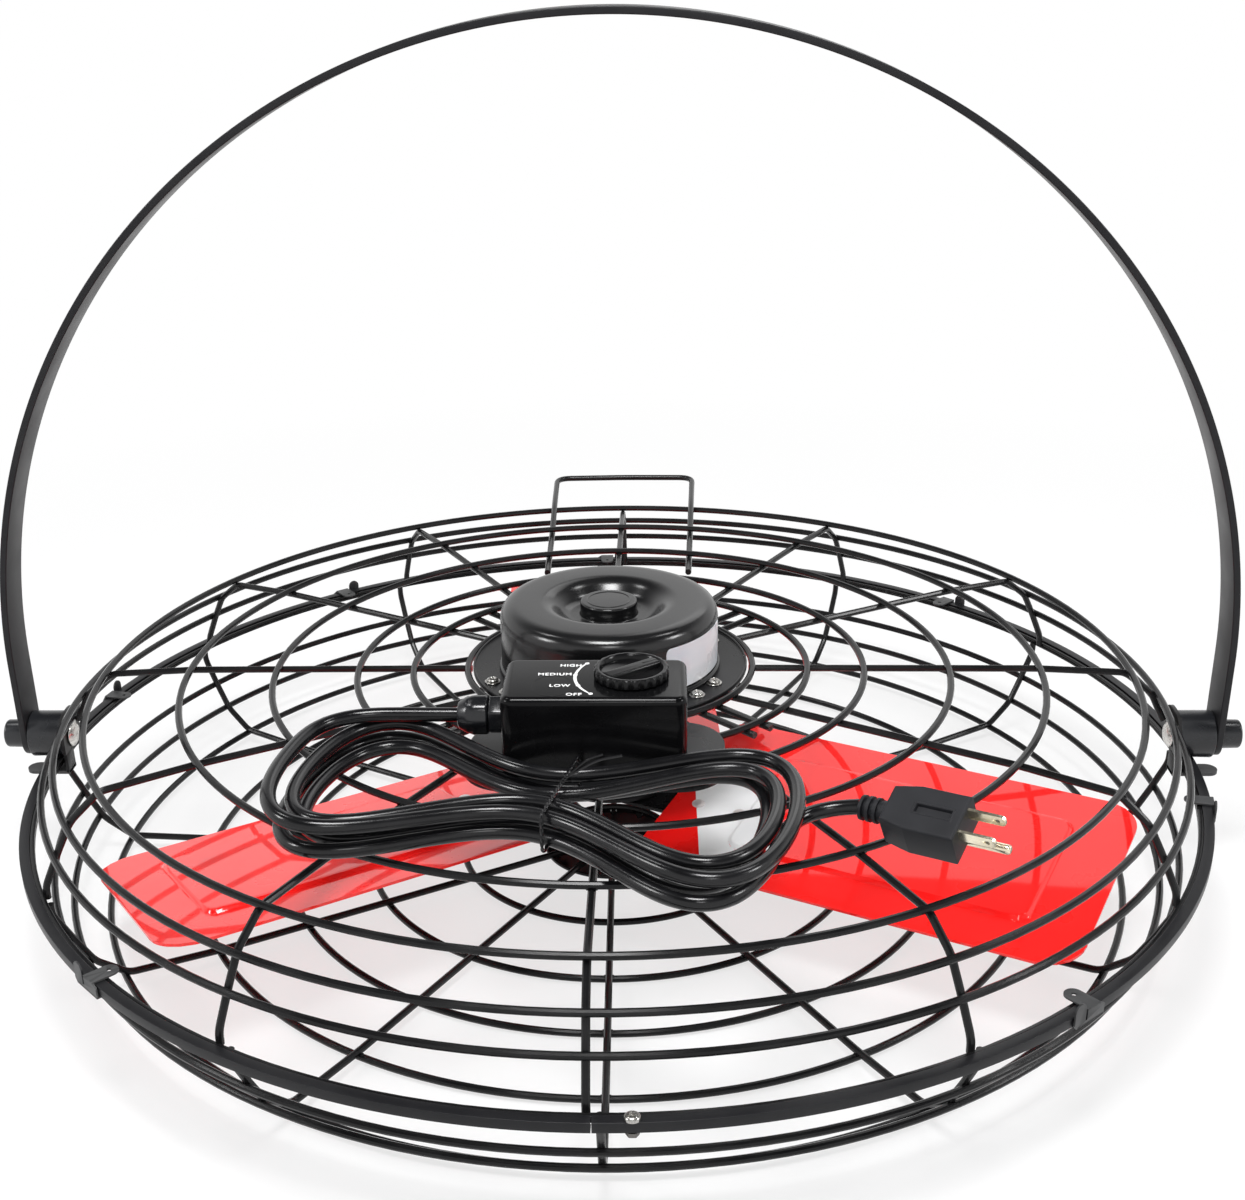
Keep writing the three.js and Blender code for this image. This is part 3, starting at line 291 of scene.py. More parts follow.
def slab(outline: Callable[[float], Array], levels: Sequence[tuple[float, float]]) -> Skin:
    """Outlines joined in layers: row i is the outline drawn in by inset(i), at height z(i).

    Args:
        outline: gives the outline for an inset.
        levels: inset and height of each layer, from one end to the other.

    Returns:
        The skin, closed by a flat face at each end.
    """
    rings = [outline(inset) for inset, _ in levels]
    points = np.stack([np.column_stack([r, np.full(len(r), z)]) for r, (_, z) in zip(rings, levels)])
    return lattice(points, wrap_columns=True, caps=True)


def layers(
    low: float, high: float, ease: float, under: float = 0.0, steps: int = 4
) -> list[tuple[float, float]]:
    """Insets and heights of a block with rounded upper and lower edges.

    At an edge of radius r the inset is r (1 - cos a) and the face lies r (1 - sin a) further on, a
    running a quarter turn.

    Args:
        low: the height of the lower face.
        high: the height of the upper face.
        ease: the radius of the upper edge, or 0 for a sharp one.
        under: the radius of the lower edge, or 0 for a sharp one.
        steps: steps in each rounded edge.

    Returns:
        The inset and the height of each layer, from the lower face to the upper one.
    """
    angle = np.linspace(0, QUARTER, steps + 1)
    top, base = [(0.0, high)], [(0.0, low)]
    if ease:
        top = [(ease * (1 - math.cos(a)), high - ease * (1 - math.sin(a))) for a in angle]
    if under:
        base = [(under * (1 - math.cos(a)), low + under * (1 - math.sin(a))) for a in angle[::-1]]
    return base + top


def graded(stops: Sequence[float], fine: float, coarse: float, near: float) -> Array:
    """Values in fine steps near each stop and in coarse steps between.

    Args:
        stops: the values where more detail is wanted, rising.
        fine: the step near a stop.
        coarse: the step elsewhere.
        near: how far from a stop the steps are fine.

    Returns:
        The values from the first stop to the last, each once.
    """
    spans = []
    for a, b in zip(stops[:-1], stops[1:]):
        inner_a, inner_b = min(a + near, (a + b) / 2), max(b - near, (a + b) / 2)
        spans.append(np.arange(a, inner_a, fine))
        spans.append(np.arange(inner_a, inner_b, coarse))
        spans.append(np.arange(inner_b, b, fine))
    return np.unique(np.round(np.concatenate([*spans, [stops[-1]]]), 4))


def pressed(
    x: Array,
    share: Array,
    half_width: Callable[[Array], Array],
    top: Callable[[Array, Array], Array],
    low: Callable[[Array, Array], Array],
) -> Skin:
    """A sheet between two height functions: y = share * half_width(x), z = top(x, y) or low(x, y).

    Args:
        x: stations along the sheet.
        share: stations across it, from -1 to 1.
        half_width: half the width at each x.
        top: the height of the upper face.
        low: the height of the lower face.

    Returns:
        The closed skin.
    """
    xs = np.broadcast_to(x[:, None], (len(x), len(share)))
    ys = share[None] * half_width(x)[:, None]
    upper = np.stack([xs, ys, top(xs, ys)], -1)
    lower = np.stack([xs, ys, low(xs, ys)], -1)
    return lattice(np.concatenate([upper, lower[:, ::-1]], axis=1), wrap_columns=True, caps=True)


def sticker(
    corners: Sequence[Sequence[float]],
    height: Callable[[Array, Array], Array],
    thick: float = 0.25,
    steps: tuple[int, int] = (120, 80),
) -> Skin:
    """A thin sheet over four corners that follows a surface.

    Its plan is (1-u)(1-v) A + u(1-v) B + uv C + (1-u)v D, u and v running from 0 to 1, and its faces
    lie at height(x, y) and height(x, y) + thick.

    Args:
        corners: A, B, C and D in the plan, turning left.
        height: the surface's height.
        thick: the sheet's thickness.
        steps: steps along u and v.

    Returns:
        The closed skin.
    """
    a, b, c, d = (np.asarray(corner, float) for corner in corners)
    u = np.linspace(0, 1, steps[0] + 1)[:, None, None]
    v = np.linspace(0, 1, steps[1] + 1)[None, :, None]
    plan = (1 - u) * (1 - v) * a + u * (1 - v) * b + u * v * c + (1 - u) * v * d
    z = height(plan[..., 0], plan[..., 1])[..., None]
    upper, lower = np.concatenate([plan, z + thick], -1), np.concatenate([plan, z], -1)
    return lattice(np.concatenate([upper, lower[:, ::-1]], axis=1), wrap_columns=True, caps=True)


def spline(points: Array, per_span: int) -> Array:
    """A smooth line through points.

    On the span from B to C it is half of (2B + (C-A) t + (2A-5B+4C-D) t^2 + (3B-A-3C+D) t^3), t running
    from 0 to 1.

    Args:
        points: the points A, B, C, D and so on, shape (n, 3).
        per_span: steps between two points.

    Returns:
        The line's points, from the first point to the last.
    """
    p = np.concatenate([2 * points[:1] - points[1:2], points, 2 * points[-1:] - points[-2:-1]])
    a, b, c, d = (p[i : len(p) - 3 + i][:, None] for i in range(4))
    t = (np.arange(per_span) / per_span)[None, :, None]
    line = 0.5 * (2 * b + (c - a) * t + (2 * a - 5 * b + 4 * c - d) * t**2 + (3 * b - a - 3 * c + d) * t**3)
    return np.concatenate([line.reshape(-1, 3), points[-1:]])


def evenly(path: Array, step: float) -> Array:
    """Points at equal steps along a path, by linear interpolation over its length.

    Args:
        path: the points of the path, shape (n, 3).
        step: the step that is wanted. The one that divides the length evenly is a little longer.

    Returns:
        The new points, from the path's start to its end.
    """
    along = np.concatenate([[0], np.cumsum(np.linalg.norm(np.diff(path, axis=0), axis=1))])
    at = np.linspace(0, along[-1], max(int(along[-1] / step), 2) + 1)
    return np.stack([np.interp(at, along, path[:, i]) for i in range(3)], -1)


def relaxed(path: Array, spread: float) -> Array:
    """A path smoothed by a bell curve, its ends held.

    P'(i) is the sum of w(k) P(i+k), where w falls as exp(-(k / spread)^2 / 2). Past an end the path goes
    on as its own mirror image through that end.

    Args:
        path: points at even steps.
        spread: the bell's width in steps.

    Returns:
        The smoothed path.
    """
    reach = int(3 * spread)
    bell = np.exp(-0.5 * (np.arange(-reach, reach + 1) / spread) ** 2)
    bell /= bell.sum()
    before = 2 * path[:1] - path[reach:0:-1]
    after = 2 * path[-1:] - path[-2 : -reach - 2 : -1]
    whole = np.concatenate([before, path, after])
    return np.stack([np.convolve(whole[:, i], bell, "valid") for i in range(3)], -1)


def sheet_with_hole(outline: Array, centre: Sequence[float], radius: float, low: float, high: float) -> Skin:
    """A flat sheet with a round hole: rings over the outline and over the hole's edge, joined in a loop.

    Each point of the hole's edge is c + r (cos t, sin t), t being the angle of the outline's point
    about c.

    Args:
        outline: the sheet's outline in the plan.
        centre: the hole's middle c.
        radius: the hole's radius r.
        low: the height of the lower face.
        high: the height of the upper face.

    Returns:
        The closed skin.
    """
    middle = np.asarray(centre, float)
    turn = np.arctan2(*(outline - middle).T[::-1])
    edge = middle + radius * np.stack([np.cos(turn), np.sin(turn)], -1)
    rows = [(edge, low), (outline, low), (outline, high), (edge, high)]
    points = np.stack([np.column_stack([ring, np.full(len(ring), z)]) for ring, z in rows])
    return lattice(points, wrap_rows=True, wrap_columns=True)


# Finishes


class Graph:
    """The nodes of a material or a world, added and joined in short calls."""

    def __init__(self, owner: bpy.types.Material | bpy.types.World) -> None:
        """Starts the owner's nodes afresh.

        Args:
            owner: the material or the world that holds the nodes.
        """
        owner.use_nodes = True
        self.owner = owner
        self.tree = owner.node_tree
        self.tree.nodes.clear()
        self.place = self.add("ShaderNodeTexCoord", {}).outputs["Object"]

    def add(self, kind: str, inputs: dict[str | int, object], **settings: object) -> bpy.types.Node:
        """Adds a node.

        Args:
            kind: the node's type.
            inputs: a value or an output socket for each input, by name or number.
            settings: the node's own properties.

        Returns:
            The node.
        """
        node = self.tree.nodes.new(kind)
        for key, value in settings.items():
            setattr(node, key, value)
        for key, value in inputs.items():
            if isinstance(value, bpy.types.NodeSocket):
                self.tree.links.new(value, node.inputs[key])
            else:
                node.inputs[key].default_value = value
        return node

    def noise(
        self, scale: float, detail: float = 3.0, stretch: Place = (1.0, 1.0, 1.0)
    ) -> bpy.types.NodeSocket:
        """Smooth noise over the object's own place.

        Args:
            scale: how many waves lie in a metre.
            detail: how many finer layers are added.
            stretch: a factor for the place along each axis.

        Returns:
            The noise, a value near 0.5.
        """
        mapped = self.add("ShaderNodeMapping", {"Vector": self.place, "Scale": stretch}).outputs["Vector"]
        inputs = {"Vector": mapped, "Scale": scale, "Detail": detail}
        return self.add("ShaderNodeTexNoise", inputs).outputs["Fac"]

    def spread(
        self, value: object, low: float, high: float, to_low: float, to_high: float
    ) -> bpy.types.NodeSocket:
        """The value carried from the range low to high into the range to_low to to_high, and held there."""
        inputs = {"Value": value, "From Min": low, "From Max": high, "To Min": to_low, "To Max": to_high}
        return self.add("ShaderNodeMapRange", inputs).outputs["Result"]

    def blend(self, share: object, first: object, second: object) -> bpy.types.NodeSocket:
        """A mix of two colours.

        Args:
            share: how much of the second colour there is, from 0 to 1.
            first: the first colour.
            second: the second colour.

        Returns:
            The mixed colour: first (1 - share) + second share.
        """
        colours = [(*c, 1.0) if isinstance(c, tuple) else c for c in (first, second)]
        inputs = {"Fac": share, "Color1": colours[0], "Color2": colours[1]}
        return self.add("ShaderNodeMixRGB", inputs).outputs["Color"]

    def finish(self, shader: bpy.types.Node, output: str = "ShaderNodeOutputMaterial") -> bpy.types.ID:
        """Joins the shader to the output and returns the owner."""
        self.add(output, {"Surface": shader.outputs[0]})
        return self.owner


@dataclass(frozen=True)
class Coat:
    """A painted, moulded or rubber surface: mottled colour, uneven gloss, fine grain and worn edges."""

    name: str
    colour: Colour
    second: Colour
    roughness: float = 0.4
    uneven: float = 0.08
    grain: float = 900.0
    depth: float = 0.02
    mottle: float = 35.0
    metallic: float = 0.0
    clear: float = 0.0
    clear_roughness: float = 0.025
    specular: float = 0.5
    worn: Colour | None = None
    worn_from: float = 0.56
    worn_to: float = 0.66
    worn_share: float = 0.35
    bump: float = 0.6

    def material(self) -> bpy.types.Material:
        """The finish as a material.

        Returns:
            The material, with its colour, roughness and bump from nodes.
        """
        g = Graph(bpy.data.materials.new(self.name))
        wide, fine = g.noise(self.mottle, 5.0), g.noise(self.grain, 2.0)
        colour = g.blend(g.spread(wide, 0.35, 0.65, 0.0, 1.0), self.colour, self.second)
        if self.worn:
            edge = g.add("ShaderNodeNewGeometry", {}).outputs["Pointiness"]
            rubbed = g.spread(edge, self.worn_from, self.worn_to, 0.0, self.worn_share)
            colour = g.blend(rubbed, colour, self.worn)
        rough = g.spread(wide, 0.3, 0.7, self.roughness - self.uneven, self.roughness + self.uneven)
        bump = g.add("ShaderNodeBump", {"Height": fine, "Strength": self.bump, "Distance": self.depth * MM})
        shader = g.add("ShaderNodeBsdfPrincipled", {
            "Base Color": colour,
            "Roughness": rough,
            "Normal": bump.outputs["Normal"],
            "Metallic": self.metallic,
            "Coat Weight": self.clear,
            "Coat Roughness": self.clear_roughness,
            "Specular IOR Level": self.specular,
        })
        return g.finish(shader)


@dataclass(frozen=True)
class Metal:
    """Bare metal with fine brushing along one axis and faint stains."""

    name: str
    colour: Colour
    stain: Colour
    roughness: float = 0.28
    brushed: Place = (60.0, 60.0, 1.0)
    smoother: float = 0.08
    rougher: float = 0.12
    depth: float = 0.02
    bump: float = 0.25

    def material(self) -> bpy.types.Material:
        """The finish as a material.

        Returns:
            The material, its roughness and bump from stretched noise.
        """
        g = Graph(bpy.data.materials.new(self.name))
        lines, clouds = g.noise(60.0, 3.0, self.brushed), g.noise(90.0, 5.0)
        colour = g.blend(g.spread(clouds, 0.4, 0.75, 0.0, 1.0), self.colour, self.stain)
        rough = g.spread(lines, 0.3, 0.7, self.roughness - self.smoother, self.roughness + self.rougher)
        bump = g.add("ShaderNodeBump", {"Height": lines, "Strength": self.bump, "Distance": self.depth * MM})
        shader = g.add("ShaderNodeBsdfPrincipled", {
            "Base Color": colour,
            "Roughness": rough,
            "Normal": bump.outputs["Normal"],
            "Metallic": 1.0,
        })
        return g.finish(shader)


class Look(Enum):
    """The fan's finishes."""

    WIRE = Coat(
        "black_wire_paint", (0.006, 0.006, 0.0065), (0.011, 0.011, 0.0115),
        0.2, 0.05, 700.0, 0.015, specular=0.22, worn=(0.05, 0.048, 0.046),
    )
    SHEET = Coat(
        "black_sheet_paint", (0.0065, 0.0065, 0.007), (0.0105, 0.0105, 0.0115),
        0.3, 0.06, 500.0, 0.03, specular=0.18, worn=(0.06, 0.058, 0.056),
    )
    BAND = Coat(
        "satin_band_paint", (0.0085, 0.0085, 0.01), (0.013, 0.013, 0.0145),
        0.38, 0.06, 650.0, 0.02, specular=0.24, worn=(0.07, 0.07, 0.07),
    )
    # The band clips' own grey coating. The pivot tabs use it too, as painted highlight: a tab is the
    # bracket's black sheet, drawn lighter for the light it catches.
    CLIP = Coat(
        "grey_clip_coating_and_tab_highlight", (0.013, 0.0135, 0.015), (0.022, 0.023, 0.025),
        0.4, 0.06, 800.0, 0.03, specular=0.32, worn=(0.16, 0.16, 0.16),
    )
    GLOSS = Coat(
        "gloss_black_case_paint", (0.0032, 0.0032, 0.0036), (0.005, 0.005, 0.0055),
        0.15, 0.03, 260.0, 0.02, specular=0.14,
    )
    CASE = Coat(
        "drawn_case_paint", (0.0045, 0.0045, 0.005), (0.007, 0.007, 0.0075),
        0.2, 0.03, 260.0, 0.02, specular=0.5,
    )
    RED = Coat(
        "gloss_red_paint", (0.98, 0.011, 0.009), (0.95, 0.009, 0.008),
        0.3, 0.05, 220.0, 0.01, clear=0.9, specular=0.12, worn=(0.98, 0.1, 0.08),
    )
    KNOB = Coat(
        "moulded_black_knob", (0.0045, 0.0045, 0.005), (0.0075, 0.0075, 0.008),
        0.17, 0.05, 1200.0, 0.01, specular=0.2,
    )
    SLEEVE = Coat(
        "satin_sleeve_plastic", (0.007, 0.0075, 0.009), (0.013, 0.014, 0.0165),
        0.26, 0.07, 420.0, 0.03, specular=0.5,
    )
    JACKET = Coat(
        "cord_jacket", (0.0045, 0.0045, 0.0052), (0.0075, 0.0075, 0.0085),
        0.19, 0.05, 1500.0, 0.01, mottle=60.0, specular=0.36,
    )
    PLUG = Coat(
        "moulded_plug", (0.0095, 0.0098, 0.012), (0.015, 0.0155, 0.0185),
        0.46, 0.06, 2400.0, 0.03, specular=0.22,
    )
    SWITCH = Coat("moulded_switch", (0.07, 0.07, 0.075), (0.09, 0.09, 0.095), 0.5, 0.05)
    CELL = Coat("capacitor_case", (0.28, 0.28, 0.29), (0.33, 0.33, 0.34), 0.45, 0.05)
    PRINT = Coat("white_print", (0.93, 0.93, 0.93), (0.88, 0.88, 0.88), 0.5, 0.05, 1800.0, 0.01)
    PAPER = Coat(
        "blank_label", (0.82, 0.81, 0.83), (0.68, 0.74, 0.8),
        0.3, 0.06, 1500.0, 0.02, mottle=22.0, clear=0.3,
    )
    WHITE = Coat(
        "white_label", (0.9, 0.9, 0.9), (0.85, 0.85, 0.86),
        0.4, 0.06, 1500.0, 0.02, mottle=22.0,
    )
    RIVET = Coat(
        "painted_rivet", (0.75, 0.7, 0.69), (0.6, 0.55, 0.54),
        0.35, 0.08, 900.0, 0.02, metallic=0.4,
    )
    STEEL = Metal("bright_steel", (0.78, 0.76, 0.73), (0.5, 0.47, 0.44), 0.2)
    SCREW = Metal("screw_steel", (0.5, 0.49, 0.47), (0.3, 0.29, 0.27), 0.24)
    DARK_STEEL = Metal("dark_screw_steel", (0.2, 0.19, 0.18), (0.1, 0.095, 0.09), 0.3)
    PRONG = Metal("plated_prong", (0.93, 0.86, 0.68), (0.78, 0.69, 0.5), 0.17, (1.0, 60.0, 60.0))
    CORE = Metal("core_steel", (0.35, 0.35, 0.36), (0.25, 0.24, 0.23), 0.4)


@cache
def material_of(look: Look) -> bpy.types.Material:
    """The material of a look, made once."""
    return look.value.material()


# Pieces


def make_piece(
    name: str,
    skin: Skin,
    look: Look,
    body: str,
    replaces: Sequence[str] = (),
    crease: float = 35.0,
) -> bpy.types.Object:
    """Makes a mesh of a skin and lets it ride on a body.

    Args:
        name: the piece's name.
        skin: its surface in millimetres.
        look: its finish.
        body: the body that it rides on.
        replaces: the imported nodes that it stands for.
        crease: the angle in degrees over which an edge is sharp.

    Returns:
        The object.
    """
    mesh = bpy.data.meshes.new(name)
    mesh.from_pydata((skin.points * MM).tolist(), [], skin.faces)
    work = bmesh.new()
    work.from_mesh(mesh)
    bmesh.ops.remove_doubles(work, verts=work.verts, dist=MERGE_DISTANCE)
    bmesh.ops.recalc_face_normals(work, faces=work.faces)
    work.to_mesh(mesh)
    work.free()
    mesh.shade_smooth()
    mesh.set_sharp_from_angle(angle=math.radians(crease))
    mesh.materials.append(material_of(look))
    piece = bpy.data.objects.new(name, mesh)
    bpy.context.scene.collection.objects.link(piece)
    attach(piece, body)
    if replaces:
        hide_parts(*replaces)
    log.info("%s: %d faces on %s", name, len(mesh.polygons), body)
    return piece


def dress_node(name: str, look: Look, edge: float = 0.0) -> None:
    """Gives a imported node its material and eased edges.

    Args:
        name: the node.
        look: its finish.
        edge: the width of the eased edges in millimetres, or 0 for none.
    """
    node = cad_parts[name]
    node.data.materials.clear()
    node.data.materials.append(material_of(look))
    if edge:
        node.modifiers.new("join_corners", "WELD").merge_threshold = 1e-6
        bevel = node.modifiers.new("eased_edges", "BEVEL")
        bevel.width = edge * MM
        bevel.segments = 2
        bevel.limit_method = "ANGLE"
        bevel.angle_limit = math.radians(32)
    log.info("%s: carried over", name)


def cross_head(radius: float, rise: float, seat: float, rows: int = 14, columns: int = 48) -> Skin:
    """A domed screw head with a cross recess, standing on z = 0.

    The height is seat + (rise - seat) sqrt(1 - (r/R)^2) less a recess, which is deep where the lesser
    of |x| and |y| is under the slot's half width and r is under 0.55 R.

    Args:
        radius: the head's radius.
        rise: its height at the middle.
        seat: the height of its straight rim.
        rows: steps from the rim to the middle.
        columns: steps round it.

    Returns:
        The closed skin.
    """
    r = radius * np.sqrt(np.linspace(1, 0, rows))[None, :]
    angle = (np.arange(columns) * TURN / columns)[:, None]
    x, y = r * np.cos(angle), r * np.sin(angle)
    dome = seat + (rise - seat) * np.sqrt(np.clip(1 - (r / radius) ** 2, 0, 1))
    arm = 1 - soft_step(np.minimum(abs(x), abs(y)), 0.1 * radius, 0.2 * radius)
    reach = 1 - soft_step(np.broadcast_to(r, x.shape), 0.45 * radius, 0.6 * radius)
    z = dome - 0.55 * rise * arm * reach
    foot = np.stack([x[:, :1], y[:, :1], np.zeros_like(x[:, :1])], -1)
    middle = np.zeros_like(foot)
    points = np.concatenate([middle, foot, np.stack([x, y, z], -1)], axis=1)
    return lattice(points, wrap_rows=True)


def pan_screw(place: Place, radius: float, rise: float, turn: float = 0.3) -> Skin:
    """A cross-headed screw at a place, turned about Z."""
    return cross_head(radius, rise, rise * 0.35).placed(shift(*place) @ spin("Z", turn))


def along_x(profile: Sequence[Sequence[float]] | Array, y: float, z: float, steps: int = 64) -> Skin:
    """A profile of radius and x turned about the line through y and z along X."""
    return turned(profile, steps).placed(shift(0, y, z) @ spin("Y", math.pi / 2))


# The guards and what joins them


class Side(Enum):
    """Which way a guard bulges from the middle of the basket."""

    REAR = 1
    FRONT = -1


@dataclass
class WireGuard:
    """One half of the basket: rings of round wire outside, bent ribs inside, joined by small welds.

    Heights are over the basket's middle plane, towards the guard's own side. A wall ring is given by
    how far it lies inside the band and by its height, the lowest first.
    """

    side: Side
    inner_ring: float
    rib_start: float
    rib_turn: float = 0.0
    wire: float = 2.0
    weld: float = 3.2
    half: float = 60.6
    middle: float = 62.6
    band: float = 343.0
    rib_count: int = 12
    hub_ring: float = 34.0
    bend: float = 4.0
    ring_steps: int = 160
    wire_sides: int = 10
    wall_rings: tuple[tuple[float, float], ...] = ((15.0, 25.2), (23.5, 40.9), (41.7, 56.8))
    corner_turn: float = -TURN / 3
    shoulder_share: float = 0.726
    shoulder_height: float = 59.8
    flat_shares: tuple[float, ...] = (0.5738, 0.4315)
    sink: float = 0.8
    rim_inner: float = 334.8
    rim_outer: float = 337.6
    rim_low: float = 0.15
    rim_high: float = 1.8
    rib_foot: float = 333.6
    rib_bend_height: float = 7.0
    rib_end_height: float = 0.3
    pivot_end_height: float = 23.6
    bead_apart: float = 2.0
    motor_ring: float = 83.5
    box_wire_half: float = 75.0
    box_wire_y: float = -113.0
    spoke_apart: float = 6.4
    spoke_ends: tuple[float, float] = (62.0, 121.0)

    def shoulder(self) -> float:
        """The radius of the ring where the flat face meets the wall."""
        return self.band * self.shoulder_share

    def flat_height(self, radius: float) -> float:
        """The height of a flat ring, which sinks evenly from the hub's ring to the shoulder's."""
        return self.half - self.sink * (radius - self.hub_ring) / (self.shoulder() - self.hub_ring)

    def ring(self, radius: float, height: float) -> Skin:
        """A ring of wire: its middle line is (r cos a, r sin a, z).

        Args:
            radius: the ring's radius.
            height: its height over the middle plane.

        Returns:
            The closed skin.
        """
        heights = np.full(self.ring_steps, self.middle + self.side.value * height)
        line = np.column_stack([circle(radius, self.ring_steps), heights])
        return tube(line, self.wire, self.wire_sides, closed=True)

    def rings(self) -> list[Skin]:
        """The rings of the wall and of the flat face.

        Returns:
            All rings but those in the middle, from the rim inwards.
        """
        wall = [(self.band - inside, height) for inside, height in self.wall_rings]
        wall.append((self.shoulder(), self.shoulder_height))
        flat = [self.band * share for share in self.flat_shares] + [self.inner_ring]
        return [self.ring(r, h) for r, h in wall] + [self.ring(r, self.flat_height(r)) for r in flat]

    def rim(self) -> Skin:
        """The flat strip that lies in the band: a rounded rectangle turned about Z.

        Returns:
            The closed skin.
        """
        low, high, near, far = self.rim_low, self.rim_high, self.rim_inner, self.rim_outer
        outline = eased([(near, low), (far, low), (far, high), (near, high)], 0.4, 3, closed=True)
        return turned(outline * (1, self.side.value) + (0, self.middle), self.ring_steps)

    def rib_line(self, at_pivot: bool) -> Array:
        """A rib's middle line, which keeps one weld's distance inside each ring.

        Args:
            at_pivot: whether the rib ends short at a pivot of the bail.

        Returns:
            Radius and height of its points, the bends rounded.
        """
        c, s = math.cos(self.corner_turn), math.sin(self.corner_turn)
        (low_in, low_z), (mid_in, mid_z), (top_in, top_z) = self.wall_rings
        run = [
            (self.rib_start, self.flat_height(self.rib_start) - self.weld),
            (self.shoulder(), self.shoulder_height - self.weld),
            (self.band - top_in + self.weld * c, top_z + self.weld * s),
            (self.band - mid_in - self.weld, mid_z),
        ]
        inner, foot = self.band - low_in - self.weld, self.rib_foot
        if at_pivot:
            end = [(inner, self.pivot_end_height)]
        else:
            end = [(inner, low_z), (foot, self.rib_bend_height), (foot, self.rib_end_height)]
        return eased(run + end, self.bend, 4)

    def rib(self, angle: float, at_pivot: bool) -> Skin:
        """One rib: its line (r, h) becomes (r cos a, r sin a, h).

        Args:
            angle: the angle a about the fan's axis.
            at_pivot: whether it ends short at a pivot.

        Returns:
            The closed skin.
        """
        r, h = self.rib_line(at_pivot).T
        line = np.stack([r * math.cos(angle), r * math.sin(angle), self.middle + self.side.value * h], -1)
        return tube(line, self.wire, self.wire_sides, reference=(-math.sin(angle), math.cos(angle), 0))

    def welds(self) -> list[Skin]:
        """A small bead on each side of a rib where it crosses a flat ring.

        Returns:
            The beads, each a small turned ball.
        """
        beads = []
        ball = turned([(0, -1.0), (0.8, -0.7), (1.2, 0), (0.8, 0.7), (0, 1.0)], 8)
        for share in (self.shoulder_share, *self.flat_shares):
            radius = self.band * share
            z = self.middle + self.side.value * (self.flat_height(radius) - self.weld / 2)
            offset = self.bead_apart / radius
            for i in range(self.rib_count):
                angle = self.rib_turn + i * TURN / self.rib_count
                beads += [
                    ball.placed(shift(radius * math.cos(a), radius * math.sin(a), z))
                    for a in (angle - offset, angle + offset)
                ]
        return beads

    def straight(self, start: Sequence[float], end: Sequence[float]) -> Skin:
        """A straight wire at the ribs' height.

        Args:
            start: one end in the plan.
            end: the other end.

        Returns:
            The closed skin.
        """
        z = self.middle + self.side.value * (self.flat_height(self.motor_ring) - self.weld)
        line = np.array([[*start, z], [*end, z]])
        return tube(evenly(line, 20.0), self.wire, self.wire_sides)

    def extras(self) -> list[Skin]:
        """The hub's ring in front, or the motor's ring with its short wires and the box's wire behind.

        Returns:
            The wires in the middle of the guard.
        """
        if self.side is Side.FRONT:
            return [self.ring(self.hub_ring, self.half - 2 * self.weld)]
        reach, y = self.box_wire_half, self.box_wire_y
        motor_ring = self.ring(self.motor_ring, self.flat_height(self.motor_ring))
        wires = [motor_ring, self.straight((-reach, y), (reach, y))]
        for quarter in range(4):
            angle = math.pi / 4 + quarter * QUARTER
            c, s = math.cos(angle), math.sin(angle)
            for off in (-self.spoke_apart, self.spoke_apart):
                ends = [(r * c - off * s, r * s + off * c) for r in self.spoke_ends]
                wires.append(self.straight(*ends))
        return wires

    def build(self) -> None:
        """Makes the guard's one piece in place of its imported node."""
        has_pivots = self.side is Side.REAR
        ribs = []
        for i in range(self.rib_count):
            at_pivot = has_pivots and i % (self.rib_count // 2) == 0
            ribs.append(self.rib(self.rib_turn + i * TURN / self.rib_count, at_pivot))
        name = self.side.name.lower() + "_guard"
        skin = together([*self.rings(), self.rim(), *ribs, *self.welds(), *self.extras()])
        make_piece(name + "_wires", skin, Look.WIRE, "basket", [name])


